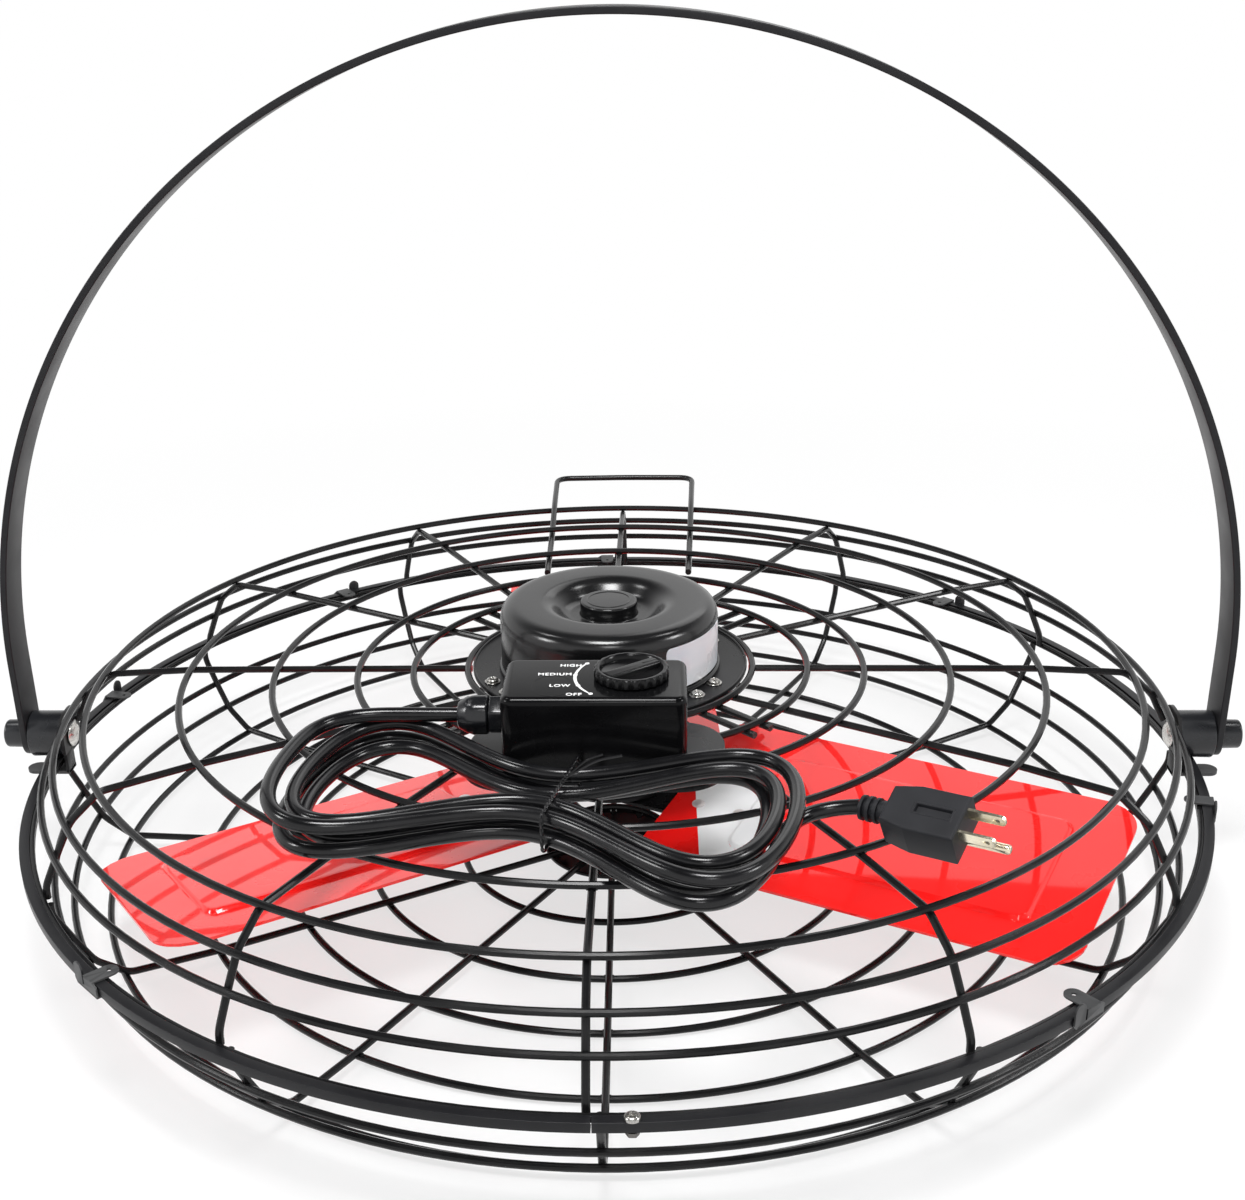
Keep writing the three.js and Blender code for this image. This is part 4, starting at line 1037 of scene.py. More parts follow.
@dataclass
class BandJoint:
    """The channel band that clamps both rims, its screw and nut, and the sheet clips over it."""

    radius: float = 343.0
    deep: float = 5.5
    half: float = 2.65
    wall: float = 0.6
    middle: float = 62.6
    slot_turn: float = -89.6
    slot: float = 0.4
    screw_turn: float = -86.7
    screw_ring: float = 340.4
    head_radius: float = 3.6
    head_rise: float = 2.4
    clearance: float = 0.3
    clip_turns: tuple[float, ...] = (45.5, 92, 128, 166, 225, 311, 349)
    clip_half: float = 10.0
    clip_sheet: float = 0.9
    finger_rise: float = 4.8
    tab_low: float = -2.5
    tab_high: float = 6.9
    tab_reach: float = 16.0
    tab_hole: float = 1.2

    def band(self) -> Skin:
        """The channel's section, turned about Z round all but the slot.

        Returns:
            The closed skin.
        """
        r, half = self.radius, self.half
        inner, web, lip = r - self.deep, r - self.wall, half - self.wall
        outside = [(inner, -half), (r, -half), (r, half), (inner, half)]
        inside = [(inner, lip), (web, lip), (web, -lip), (inner, -lip)]
        profile = eased(outside + inside, 0.28, 3, closed=True) + (0, self.middle)
        gap = self.slot / self.radius
        return turned(profile, 361, math.radians(self.slot_turn) + gap / 2, TURN - gap)

    def screw(self) -> list[Skin]:
        """The clamp screw.

        Returns:
            Its head above the band, and its shank down to the nut.
        """
        angle = math.radians(self.screw_turn)
        x, y = self.screw_ring * math.cos(angle), self.screw_ring * math.sin(angle)
        seat = self.middle + self.half + self.clearance
        head = pan_screw((x, y, seat), self.head_radius, self.head_rise)
        shank = turned([(0, -8.4), (1.2, -8.4), (1.4, -8.0), (1.4, 0.2), (0, 0.2)], 24)
        return [head, shank.placed(shift(x, y, seat))]

    def upright(self, low: float, high: float) -> Skin:
        """A clip's upright face at angle zero, with its round-topped finger and the notch beside it.

        The outline lies in Y and Z and is carried along X over the sheet's thickness. The finger's top
        is the half circle c + r (cos a, sin a).

        Args:
            low: the height of its lower end.
            high: the height of its upper end.

        Returns:
            The closed skin.
        """
        face, half = self.radius + self.clearance, self.clip_half
        finger_low, finger_high = -half - 1.6, -3.8
        centre, r = (finger_low + finger_high) / 2, (finger_high - finger_low) / 2
        arc = np.linspace(0, np.pi, 11)
        top = high + self.finger_rise - r
        round_top = np.stack([centre + r * np.cos(arc), top + r * np.sin(arc)], -1)
        foot = [(finger_low, low + 2.2), (-half, low), (half, low), (half, high - 2)]
        notch = [
            (self.tab_high, high - 0.2),
            (self.tab_low, high - 0.2),
            (self.tab_low, high - 5.5),
            (finger_high, high - 5.5),
        ]
        outline = np.concatenate([foot, notch, round_top])
        sheet = slab(lambda inset: outline, [(0.0, 0.0), (0.0, self.clip_sheet)])
        across, up, out = sheet.points.T
        return Skin(np.column_stack([face + out, across, up]), sheet.faces)

    def clip(self) -> Skin:
        """A clip at angle zero: its upright face, a tab with a hole above the band and a lip below.

        Returns:
            The clip's skin.
        """
        face, t, half = self.radius + self.clearance, self.clip_sheet, self.clip_half
        low = self.middle - self.half - self.clearance - t
        high = self.middle + self.half + self.clearance + t
        tip = face + t - self.tab_reach
        outline = rounded_box((tip, self.tab_low), (face + t, self.tab_high), 4.6, steps=8)
        outline[:, 0] = np.where(outline[:, 0] > face - 4, face + t, outline[:, 0])
        hole = (tip + 4.7, (self.tab_low + self.tab_high) / 2)
        tab = sheet_with_hole(outline, hole, self.tab_hole, high - t, high)
        lip = slab(
            lambda inset: rounded_box((face - 4, -half), (face + t, half), 0.4, inset, 2),
            [(0.0, low), (0.0, low + t)],
        )
        return together([self.upright(low, high), tab, lip])

    def build(self) -> None:
        """Makes the band, the screw and the clips, and dresses the nut."""
        make_piece("clamp_band_channel", self.band(), Look.BAND, "basket", ["clamp_band"])
        screw = together(self.screw())
        make_piece("clamp_screw_head", screw, Look.SCREW, "basket", ["clamp_screw"])
        dress_node("clamp_nut", Look.DARK_STEEL, 0.3)
        for i, turn in enumerate(self.clip_turns, 1):
            clip = self.clip().placed(spin("Z", math.radians(turn)))
            make_piece(f"band_clip_{i}", clip, Look.CLIP, "basket", [f"guard_clip_{i}"])


@dataclass
class FrontPlate:
    """The pressed plate in the middle of the front guard."""

    radius: float = 42.0
    rise: float = 2.7
    sheet: float = 1.5

    def build(self) -> None:
        """Makes the plate as one turned dish."""
        r, t, h = self.radius, self.sheet, self.rise
        outline = [(0, 0), (r - 1.6, 0), (r, 0.8), (r, h), (r - t, h), (r - 2.35, t), (0, t)]
        dish = turned(eased(outline, 0.5, 4), 128)
        make_piece("front_plate_dish", dish, Look.SHEET, "basket", ["front_centre_plate"])


@dataclass
class TiltHandle:
    """The bent wire handle at the far side."""

    wire: float = 2.1
    bend: float = 11.0
    right: tuple[Place, ...] = (
        (48.0, 164.0, 118.8),
        (50.1, 246.0, 118.0),
        (51.45, 298.0, 123.8),
        (53.0, 358.0, 125.5),
    )
    bow: Place = (0.0, 359.6, 125.5)

    def build(self) -> None:
        """Makes the handle as one tube whose corners are rounded, its left half the right one's mirror."""
        left = [(-x, y, z) for x, y, z in reversed(self.right)]
        handle = tube(eased([*self.right, self.bow, *left], self.bend, 7), self.wire, 14)
        make_piece("tilt_handle_wire", handle, Look.WIRE, "basket", ["tilt_handle"])


# The motor


@dataclass
class Motor:
    """The drawn rear case, the plate that it stands on, the front bell and the parts inside."""

    case_radius: float = 63.3
    case_wall: float = 2.0
    top: float = 163.7
    dish_depth: float = 9.0
    boss_radius: float = 16.5
    boss_drop: float = 0.4
    lip_radius: float = 12.4
    lip_wire: float = 0.4
    plate_z: float = 122.5
    plate_radius: float = 80.4
    plate_sheet: float = 1.6
    plate_rise: float = 3.0
    plate_roll: float = 1.3
    hole: float = 57.3
    label_long: float = 57.0
    label_half: float = 12.9
    label_corner: float = 3.0
    label_turn: float = math.radians(-58)
    label_z: float = 141.5
    screw_places: tuple[tuple[float, float], ...] = (
        (60.5, -31), (50.6, -47.3), (60.5, 31), (50.6, 47.3),
        (-60.5, 31), (-50.6, 47.3), (-66.5, -29), (-57, -43.5),
    )
    bell_radius: float = 57.0
    bell_low: float = 97.0
    grommet_turn: float = math.radians(-97)
    grommet_z: float = 141.0
    shaft_radius: float = 5.0
    shaft_ends: tuple[float, float] = (41.0, 152.4)

    def case(self) -> Skin:
        """The rear case: a straight side, a wide round shoulder, a soft dish and a flat boss.

        Returns:
            The profile turned about Z.
        """
        r, low, t, top = self.case_radius, self.plate_z + 1.9, self.case_wall, self.top
        floor, boss, boss_top = top - self.dish_depth, self.boss_radius, top - self.boss_drop
        corners = [
            (r + 1.4, low),
            (r + 1.4, low + 1.6),
            (r, low + 2.6),
            (r, top),
            (35, top),
            (25.5, floor),
            (boss, floor),
            (boss, boss_top),
            (0, boss_top),
        ]
        outside = eased(corners, (0, 0.5, 0.6, 10.5, 5.5, 4.5, 1.2, 1.3, 0), 10)
        dish = [(0, floor - t), (25, floor - t), (36, top - t)]
        inside = dish + [(r - 9, top - t), (r - t, top - 10), (r - t, low)]
        return turned(np.concatenate([np.array(inside), outside]), 144)

    def boss_lip(self) -> Skin:
        """A shallow ring pressed into the boss's top: a round tube on a circle, half sunk."""
        line = np.column_stack([circle(self.lip_radius, 64), np.full(64, self.top - 0.5)])
        return tube(line, self.lip_wire, 8, closed=True)

    def plate(self) -> Skin:
        """The mounting plate with its outer edge rolled up.

        Returns:
            The profile turned about Z.
        """
        z, r, web = self.plate_z, self.plate_radius, self.plate_radius - self.plate_roll
        face, lip = z + self.plate_sheet, z + self.plate_rise
        corners = [(self.hole, z), (r, z), (r, lip), (web, lip), (web, face), (self.hole, face)]
        return turned(eased(corners, 0.6, 4, closed=True), 160)

    def label(self) -> Skin:
        """A blank label with round corners: (R cos a, R sin a, z), where a is the length along it over R.

        Returns:
            The closed skin on the case's side.
        """
        r, long, tall, corner = self.case_radius, self.label_long, self.label_half, self.label_corner

        def half_height(x: Array) -> Array:
            """Half the label's height, drawn in by a quarter circle at each end."""
            d = np.clip(corner - np.minimum(x, long - x), 0, corner)
            return tall - (corner - np.sqrt(corner**2 - d**2))

        x = graded([0.0, long], 0.4, 1.5, 4.0)
        share = np.linspace(-1, 1, 5)
        flat = pressed(x, share, half_height, lambda a, b: 0.14 + 0 * a, lambda a, b: -0.05 + 0 * a)
        along, up, thick = flat.points.T
        turn, out = self.label_turn + along / r, r + thick
        return Skin(np.stack([out * np.cos(turn), out * np.sin(turn), self.label_z + up], -1), flat.faces)

    def plate_screws(self) -> list[Skin]:
        """The screws that hold the plate to the short wires.

        Returns:
            The heads, then a washer under each.
        """
        washer = turned(eased([(0, 0), (4.6, 0), (4.6, 0.7), (0, 0.7)], 0.25, 3), 32)
        z = self.plate_z + self.plate_sheet
        heads = [
            pan_screw((x, y, z + 0.7), 3.5, 2.0, turn=0.2 * i) for i, (x, y) in enumerate(self.screw_places)
        ]
        return heads + [washer.placed(shift(x, y, z)) for x, y in self.screw_places]

    def bell(self) -> Skin:
        """The front bell: a cup that opens upwards, with a boss round the shaft.

        Returns:
            The profile turned about Z.
        """
        top, low, r = self.plate_z - 0.3, self.bell_low, self.bell_radius
        outside = [(r, top), (r, low + 10), (r - 10, low), (13.3, low), (11.3, low - 2), (5.3, low - 2)]
        inside = [(5.3, low + 2), (r - 11, low + 2), (r - 2, low + 10), (r - 2, top)]
        return turned(eased(outside + inside, 3.0, 5, closed=True), 128)

    def grommet(self) -> Skin:
        """The rubber bush of the motor's leads, a profile turned about an axis that leaves the case.

        Returns:
            The closed skin.
        """
        profile = eased([(0, -2), (4.6, -2), (4.6, 1.4), (3.2, 2.4), (0, 2.4)], 0.9, 4)
        out = shift(self.case_radius, 0, self.grommet_z) @ spin("Y", QUARTER)
        return turned(profile, 32).placed(spin("Z", self.grommet_turn) @ out)

    def build(self) -> None:
        """Makes the motor's pieces and dresses what lies inside."""
        make_piece("motor_case_shell", self.case(), Look.CASE, "basket", ["motor_rear_case"], 50)
        make_piece("motor_boss_lip", self.boss_lip(), Look.CASE, "basket")
        make_piece("motor_plate_ring", self.plate(), Look.SHEET, "basket", ["motor_mount_plate"])
        make_piece("motor_plate_screws", together(self.plate_screws()), Look.SCREW, "basket")
        make_piece("motor_blank_label", self.label(), Look.PAPER, "basket")
        make_piece("motor_lead_grommet", self.grommet(), Look.KNOB, "basket")
        make_piece("motor_bell_shell", self.bell(), Look.SHEET, "basket", ["motor_front_bell"])
        dress_node("stator_core", Look.CORE)
        dress_node("rotor", Look.CORE)
        low, high = self.shaft_ends
        shaft = eased([(0, low), (self.shaft_radius, low), (self.shaft_radius, high), (0, high)], 0.8, 3)
        make_piece("motor_shaft_bar", turned(shaft, 48), Look.STEEL, "propeller", ["motor_shaft"])


# The propeller


@dataclass
class Propeller:
    """Three pressed red blades riveted to the arms of a hub."""

    turn: float = math.radians(-27)
    pitch: float = math.radians(9.1)
    z: float = 52.0
    start: float = 50.0
    end: float = 299.0
    half: float = 71.5
    sheet: float = 1.6
    lift: float = 1.5
    tip_round: float = 22.0
    root_round: float = 12.0
    panel_start: float = 96.0
    panel_end: float = 268.0
    panel_half: float = 46.0
    panel_corner: float = 9.0
    panel_rise: float = 2.2
    slope: float = 2.2
    arm_start: float = 8.0
    arm_end: float = 108.0
    arm_half: float = 26.0
    arm_sheet: float = 2.4
    sleeve_radius: float = 12.0
    sleeve_bore: float = 5.3
    sleeve_ends: tuple[float, float] = (43.0, 68.0)
    disc_radius: float = 40.0
    rivet_rings: tuple[float, ...] = (66.0, 92.0)
    rivet_offset: float = 15.0
    label_corners: tuple[tuple[float, float], ...] = (
        (53.8, 5.6),
        (91.7, -66.5),
        (131.5, -53.5),
        (100.6, 19.0),
    )
    set_screw_turn: float = math.radians(-50)
    set_screw_z: float = 62.0
    count: int = 3

    def placed_at(self, k: int) -> Array:
        """The matrix of blade k: pitched about its own radial line, turned to its angle, at its height."""
        return shift(0, 0, self.z) @ spin("Z", self.turn + k * TURN / self.count) @ spin("X", self.pitch)

    def half_width(self, x: Array) -> Array:
        """Half the blade's width, drawn in at each end by a quarter circle, r - sqrt(r^2 - d^2).

        Args:
            x: stations along the blade.

        Returns:
            Half the width at each.
        """
        tip = np.clip(x - (self.end - self.tip_round), 0, self.tip_round)
        root = np.clip(self.start + self.root_round - x, 0, self.root_round)
        return (
            self.half
            - (self.tip_round - np.sqrt(self.tip_round**2 - tip**2))
            - (self.root_round - np.sqrt(self.root_round**2 - root**2))
        )

    def raised(self, x: Array, y: Array) -> Array:
        """How far the pressed panel stands up: a soft step of the distance inside a rounded rectangle.

        With q the distance past the rectangle's straight sides drawn in by r, the distance outside is
        |max(q, 0)| + min(max(qx, qy), 0) - r.

        Args:
            x: places along the blade.
            y: places across it.

        Returns:
            The height at each.
        """
        centre, half_x = (self.panel_start + self.panel_end) / 2, (self.panel_end - self.panel_start) / 2
        r = self.panel_corner
        qx, qy = abs(x - centre) - (half_x - r), abs(y) - (self.panel_half - r)
        outside = np.hypot(np.maximum(qx, 0), np.maximum(qy, 0)) + np.minimum(np.maximum(qx, qy), 0) - r
        return self.panel_rise * soft_step(-outside, 0, self.slope)

    def blade(self) -> Skin:
        """One blade in its own frame, its panel pressed into the sheet.

        Returns:
            The closed skin.
        """
        root, tip = self.start + self.root_round, self.end - self.tip_round
        x = graded([self.start, root, self.panel_start, self.panel_end, tip, self.end], 0.9, 7.0, 5.0)
        edge = self.panel_half / self.half
        share = graded([-1.0, -edge, edge, 1.0], 0.016, 0.09, 0.09)
        return pressed(
            x,
            share,
            self.half_width,
            lambda a, b: self.lift + self.sheet + self.raised(a, b),
            lambda a, b: self.lift + self.raised(a, b),
        )

    def rivets(self) -> list[Skin]:
        """The rivets' domed heads on a blade's root.

        Returns:
            The heads in the blade's own frame.
        """
        head = turned(eased([(0, 0), (3.9, 0), (3.6, 0.9), (2.0, 1.6), (0, 1.7)], 0.6, 3), 32)
        top = self.lift + self.sheet
        sides = (-self.rivet_offset, self.rivet_offset)
        return [head.placed(shift(r, y, top)) for r in self.rivet_rings for y in sides]

    def blank_label(self) -> Skin:
        """A blank sticker on the root of the first blade."""
        top = self.lift + self.sheet
        return sticker(self.label_corners, lambda a, b: top + self.raised(a, b))

    def hub(self) -> list[Skin]:
        """The hub.

        Returns:
            Its sleeve, its disc and its arms.
        """
        bore, r, (low, high) = self.sleeve_bore, self.sleeve_radius, self.sleeve_ends
        sleeve = turned(eased([(bore, low), (r, low), (r, high), (bore, high)], 0.8, 4, closed=True), 64)
        t = self.arm_sheet / 2
        under, over, inner = self.z - t, self.z + t, r - 0.5
        edge = [(inner, under), (self.disc_radius, under), (self.disc_radius, over), (inner, over)]
        disc = turned(eased(edge, 0.5, 3, closed=True), 96)
        near, far = (self.arm_start, -self.arm_half), (self.arm_end, self.arm_half)
        arm = slab(lambda inset: rounded_box(near, far, 10.0, inset), layers(-t, t, 0.5, 0.5, 3))
        return [sleeve, disc] + [arm.placed(self.placed_at(k)) for k in range(self.count)]

    def set_screw(self) -> Skin:
        """The socket screw in the hub's sleeve, turned about its own axis in six steps.

        Returns:
            The closed skin.
        """
        profile = eased([(0, 0), (2.4, 0), (2.4, 2.2), (1.2, 2.2), (1.0, 1.2), (0, 1.2)], 0.3, 3)
        place = spin("Z", self.set_screw_turn) @ shift(11.6, 0, self.set_screw_z) @ spin("Y", QUARTER)
        return turned(profile, 6).placed(place)

    def build(self) -> None:
        """Makes the blades, their rivets, the hub and its set screw."""
        for k in range(self.count):
            blade = self.blade().placed(self.placed_at(k))
            node = f"propeller_blade_{k + 1}"
            make_piece(f"blade_sheet_{k + 1}", blade, Look.RED, "propeller", [node], 24)
        rivets = [r.placed(self.placed_at(k)) for k in range(self.count) for r in self.rivets()]
        make_piece("blade_rivets", together(rivets), Look.RIVET, "propeller")
        label, hub = self.blank_label().placed(self.placed_at(0)), together(self.hub())
        make_piece("blade_blank_label", label, Look.WHITE, "propeller")
        make_piece("hub_and_arms", hub, Look.SHEET, "propeller", ["propeller_hub"])
        make_piece("hub_set_screw", self.set_screw(), Look.DARK_STEEL, "propeller")


# The switch box


@dataclass
class SwitchBox:
    """The tray on the wires, the box over it, the dial with its printed marks, and the cord's gland."""

    tray_low: tuple[float, float] = (-70.0, -166.0)
    tray_high: tuple[float, float] = (64.0, -91.0)
    tray_z: float = 125.6
    tray_sheet: float = 1.4
    tray_rise: float = 3.4
    tray_screws: tuple[tuple[float, float, float], ...] = ((57, -131, 0.4), (-63, -128, 1.1))
    box_low: tuple[float, float] = (-49.0, -156.5)
    box_high: tuple[float, float] = (44.0, -105.0)
    top: float = 172.0
    dial: tuple[float, float] = (16.0, -129.0)
    knob_radius: float = 19.1
    knob_low: float = 172.8
    knob_rise: float = 5.0
    flutes: int = 24
    flute_depth: float = 0.8
    grip_turn: float = math.radians(38)
    gland: tuple[float, float] = (-130.5, 151.5)
    mark_turns: tuple[float, ...] = (144.0, 175.6, 202.0, 226.0)
    mark_ring: float = 28.6
    dot_radius: float = 1.15
    ink: float = 0.05
    letter_size: float = 4.2
    letter_space: float = 1.14
    letter_bold: float = 0.1
    words: tuple[tuple[str, tuple[float, float]], ...] = (
        ("HIGH", (-9.8, -114.9)),
        ("MEDIUM", (-14.4, -125.9)),
        ("LOW", (-14.6, -139.9)),
        ("OFF", (-8.2, -150.4)),
    )

    def tray(self) -> Skin:
        """The tray: a shallow pan that opens down, its upper edge rounded.

        Returns:
            The closed skin.
        """
        inner = [(self.tray_sheet, self.tray_z + 2.0), (self.tray_sheet, self.tray_z)]
        return slab(
            lambda inset: rounded_box(self.tray_low, self.tray_high, 24.0, inset, 12),
            inner + layers(self.tray_z, self.tray_z + self.tray_rise, 1.7, 0.0, 5),
        )

    def cover(self) -> Skin:
        """The box: upright round corners and a softly rounded upper edge.

        Returns:
            The closed skin.
        """
        return slab(
            lambda inset: rounded_box(self.box_low, self.box_high, 6.0, inset, 10),
            layers(self.tray_z + 3.7, self.top, 3.6, 0.3, 8),
        )

    def knockout(self) -> Skin:
        """The faint round line of a knock-out in the box's top: a thin ring half sunk in it."""
        oval = circle(1.0, 64) * (10.3, 12.5) + (-23.5, -140.0)
        return tube(np.column_stack([oval, np.full(64, self.top - 0.12)]), 0.3, 6, closed=True)

    def knob(self) -> list[Skin]:
        """The fluted knob: a skirt, a dish inside it and a bar across it.

        On the skirt R(a) = R - f ((1 - cos(n a)) / 2)^2, n being the number of flutes and f their depth.

        Returns:
            The skirt with its dish, the bar and the line along it.
        """
        rise, r = self.knob_rise, self.knob_radius
        angle = (np.arange(400) * TURN / 400)[:, None]
        side = [(r - 0.5, 0, 0.6), (r, 0.5, 1), (r, rise - 1.0, 1), (r - 0.5, rise - 0.25, 0.6)]
        rim = [(r - 1.3, rise, 0), (16.6, rise, 0), (16.1, rise - 0.4, 0)]
        dish = [(15.4, rise - 2.9, 0), (14.6, rise - 3.4, 0), (0, rise - 3.4, 0)]
        rows = np.array([(0, 0, 0), *side, *rim, *dish])
        flute = self.flute_depth * (0.5 - 0.5 * np.cos(self.flutes * angle)) ** 2
        radius = rows[None, :, 0] - flute * rows[None, :, 2]
        height = np.broadcast_to(rows[None, :, 1], radius.shape)
        points = np.stack([radius * np.cos(angle), radius * np.sin(angle), height], -1)
        skirt = lattice(points, wrap_rows=True)
        bar = slab(
            lambda inset: rounded_box((-16.4, -4.0), (16.4, 4.0), 1.2, inset, 4),
            layers(1.2, rise, 1.6, 0.0, 5),
        )
        line = slab(
            lambda inset: rounded_box((7.0, -0.6), (15.6, 0.6), 0.3, inset, 3),
            layers(rise - 0.4, rise + 0.12, 0.1, 0.0, 2),
        )
        place = shift(*self.dial, self.knob_low) @ spin("Z", self.grip_turn)
        return [part.placed(place) for part in (skirt, bar, line)]

    def marks(self) -> list[Skin]:
        """The printed arc, thicker in its middle, with a dot at each speed.

        The arc's half width is 0.4 + 0.4 sin(pi t), t running from 0 to 1 along it.

        Returns:
            The arc and the dots.
        """
        share = np.linspace(0, np.pi, 60)
        angle = np.radians(np.linspace(self.mark_turns[0] + 3, self.mark_turns[-1] - 3, 60))[:, None]
        wide = 0.4 + 0.4 * np.sin(share)
        ring = self.mark_ring + np.stack([-wide, -wide, wide, wide], -1)
        z = np.broadcast_to(self.top + self.ink * np.array([-1, 1, 1, -1]), ring.shape)
        x, y = self.dial[0] + ring * np.cos(angle), self.dial[1] + ring * np.sin(angle)
        arc = lattice(np.stack([x, y, z], -1), wrap_columns=True, caps=True)
        dot = turned([(0, -self.ink), (self.dot_radius, -self.ink), (self.dot_radius, 0.06), (0, 0.06)], 32)
        return [arc] + [dot.placed(shift(*self.mark_place(turn), self.top)) for turn in self.mark_turns]

    def mark_place(self, turn: float) -> tuple[float, float]:
        """A place on the arc: (x0 + R cos a, y0 + R sin a), the angle a given in degrees."""
        a, r = math.radians(turn), self.mark_ring
        return self.dial[0] + r * math.cos(a), self.dial[1] + r * math.sin(a)

    def word(self, text: str, place: tuple[float, float]) -> Skin:
        """One printed word as a thin raised skin.

        Args:
            text: the word.
            place: where its right end lies on the box's top.

        Returns:
            The skin in place.
        """
        curve = bpy.data.curves.new("word", "FONT")
        curve.body = text
        curve.size = self.letter_size
        curve.space_character = self.letter_space
        curve.extrude = self.ink
        curve.offset = self.letter_bold
        curve.align_x, curve.align_y = "RIGHT", "CENTER"
        holder = bpy.data.objects.new("word", curve)
        bpy.context.scene.collection.objects.link(holder)
        mesh = bpy.data.meshes.new_from_object(holder)
        points = np.zeros(len(mesh.vertices) * 3)
        mesh.vertices.foreach_get("co", points)
        faces = [list(p.vertices) for p in mesh.polygons]
        bpy.data.objects.remove(holder)
        return Skin(points.reshape(-1, 3), faces).placed(shift(*place, self.top))

    def gland_parts(self) -> tuple[Skin, Skin]:
        """The gland in the box's left wall.

        Where the nut's radius is over 9.6 its grips sink it by r / 10 times 0.35 (1 - cos(8 a)) / 2 at the
        angle a.

        Returns:
            The six-sided flange with its thread, and the dome nut with its narrow grips.
        """
        wall = self.box_low[0] - 0.3
        hexagon = slab(
            lambda inset: eased(circle(10.4 - inset, 6), 1.2, 4, closed=True), layers(0, 7.5, 0.7, 0.7, 3)
        )
        lay = shift(0, *self.gland) @ spin("Y", QUARTER)
        flange = hexagon.placed(lay).placed(shift(wall - 7.5, 0, 0))
        thread = along_x([(0, wall - 0.5), (7, wall - 0.5), (7, wall + 7), (0, wall + 7)], *self.gland)
        face = wall - 7.8 - 16
        dome = [(0, face), (6.6, face), (9.4, face + 4.6), (10.4, face + 8)]
        profile = eased([*dome, (10.4, face + 16), (0, face + 16)], 1.6, 6)
        nut = along_x(profile, *self.gland, steps=96)
        offset = nut.points[:, 1:] - np.array(self.gland)
        grip = 0.35 * (0.5 - 0.5 * np.cos(8 * np.arctan2(offset[:, 1], offset[:, 0])))
        deep = np.linalg.norm(offset, axis=1) > 9.6
        nut.points[:, 1:] -= offset * (grip * deep / 10)[:, None]
        return together([flange, thread]), nut

    def screws(self) -> list[Skin]:
        """The tray's two screws, one at each side of the box."""
        z = self.tray_z + self.tray_rise
        return [pan_screw((x, y, z), 3.4, 2.0, turn) for x, y, turn in self.tray_screws]

    def build(self) -> None:
        """Makes the box's pieces and dresses what lies inside."""
        make_piece("tray_pan", self.tray(), Look.SHEET, "basket", ["switch_box_tray"])
        make_piece("box_cover_shell", self.cover(), Look.GLOSS, "basket", ["switch_box_cover"], 50)
        make_piece("box_knockout_line", self.knockout(), Look.GLOSS, "basket")
        make_piece("dial_marks", together(self.marks()), Look.PRINT, "basket")
        words = [self.word(t, p) for t, p in self.words]
        make_piece("dial_words", together(words), Look.PRINT, "basket")
        make_piece("speed_knob_fluted", together(self.knob()), Look.KNOB, "dial", ["speed_knob"], 40)
        flange, nut = self.gland_parts()
        make_piece("gland_flange", flange, Look.SLEEVE, "basket", ["cord_gland_body"])
        make_piece("gland_dome_nut", nut, Look.SLEEVE, "basket", ["cord_gland_nut"])
        make_piece("tray_screws", together(self.screws()), Look.DARK_STEEL, "basket")
        dress_node("speed_switch", Look.SWITCH)
        dress_node("switch_stem", Look.CORE)
        dress_node("run_capacitor", Look.CELL)


# The cord, its tie and its plug


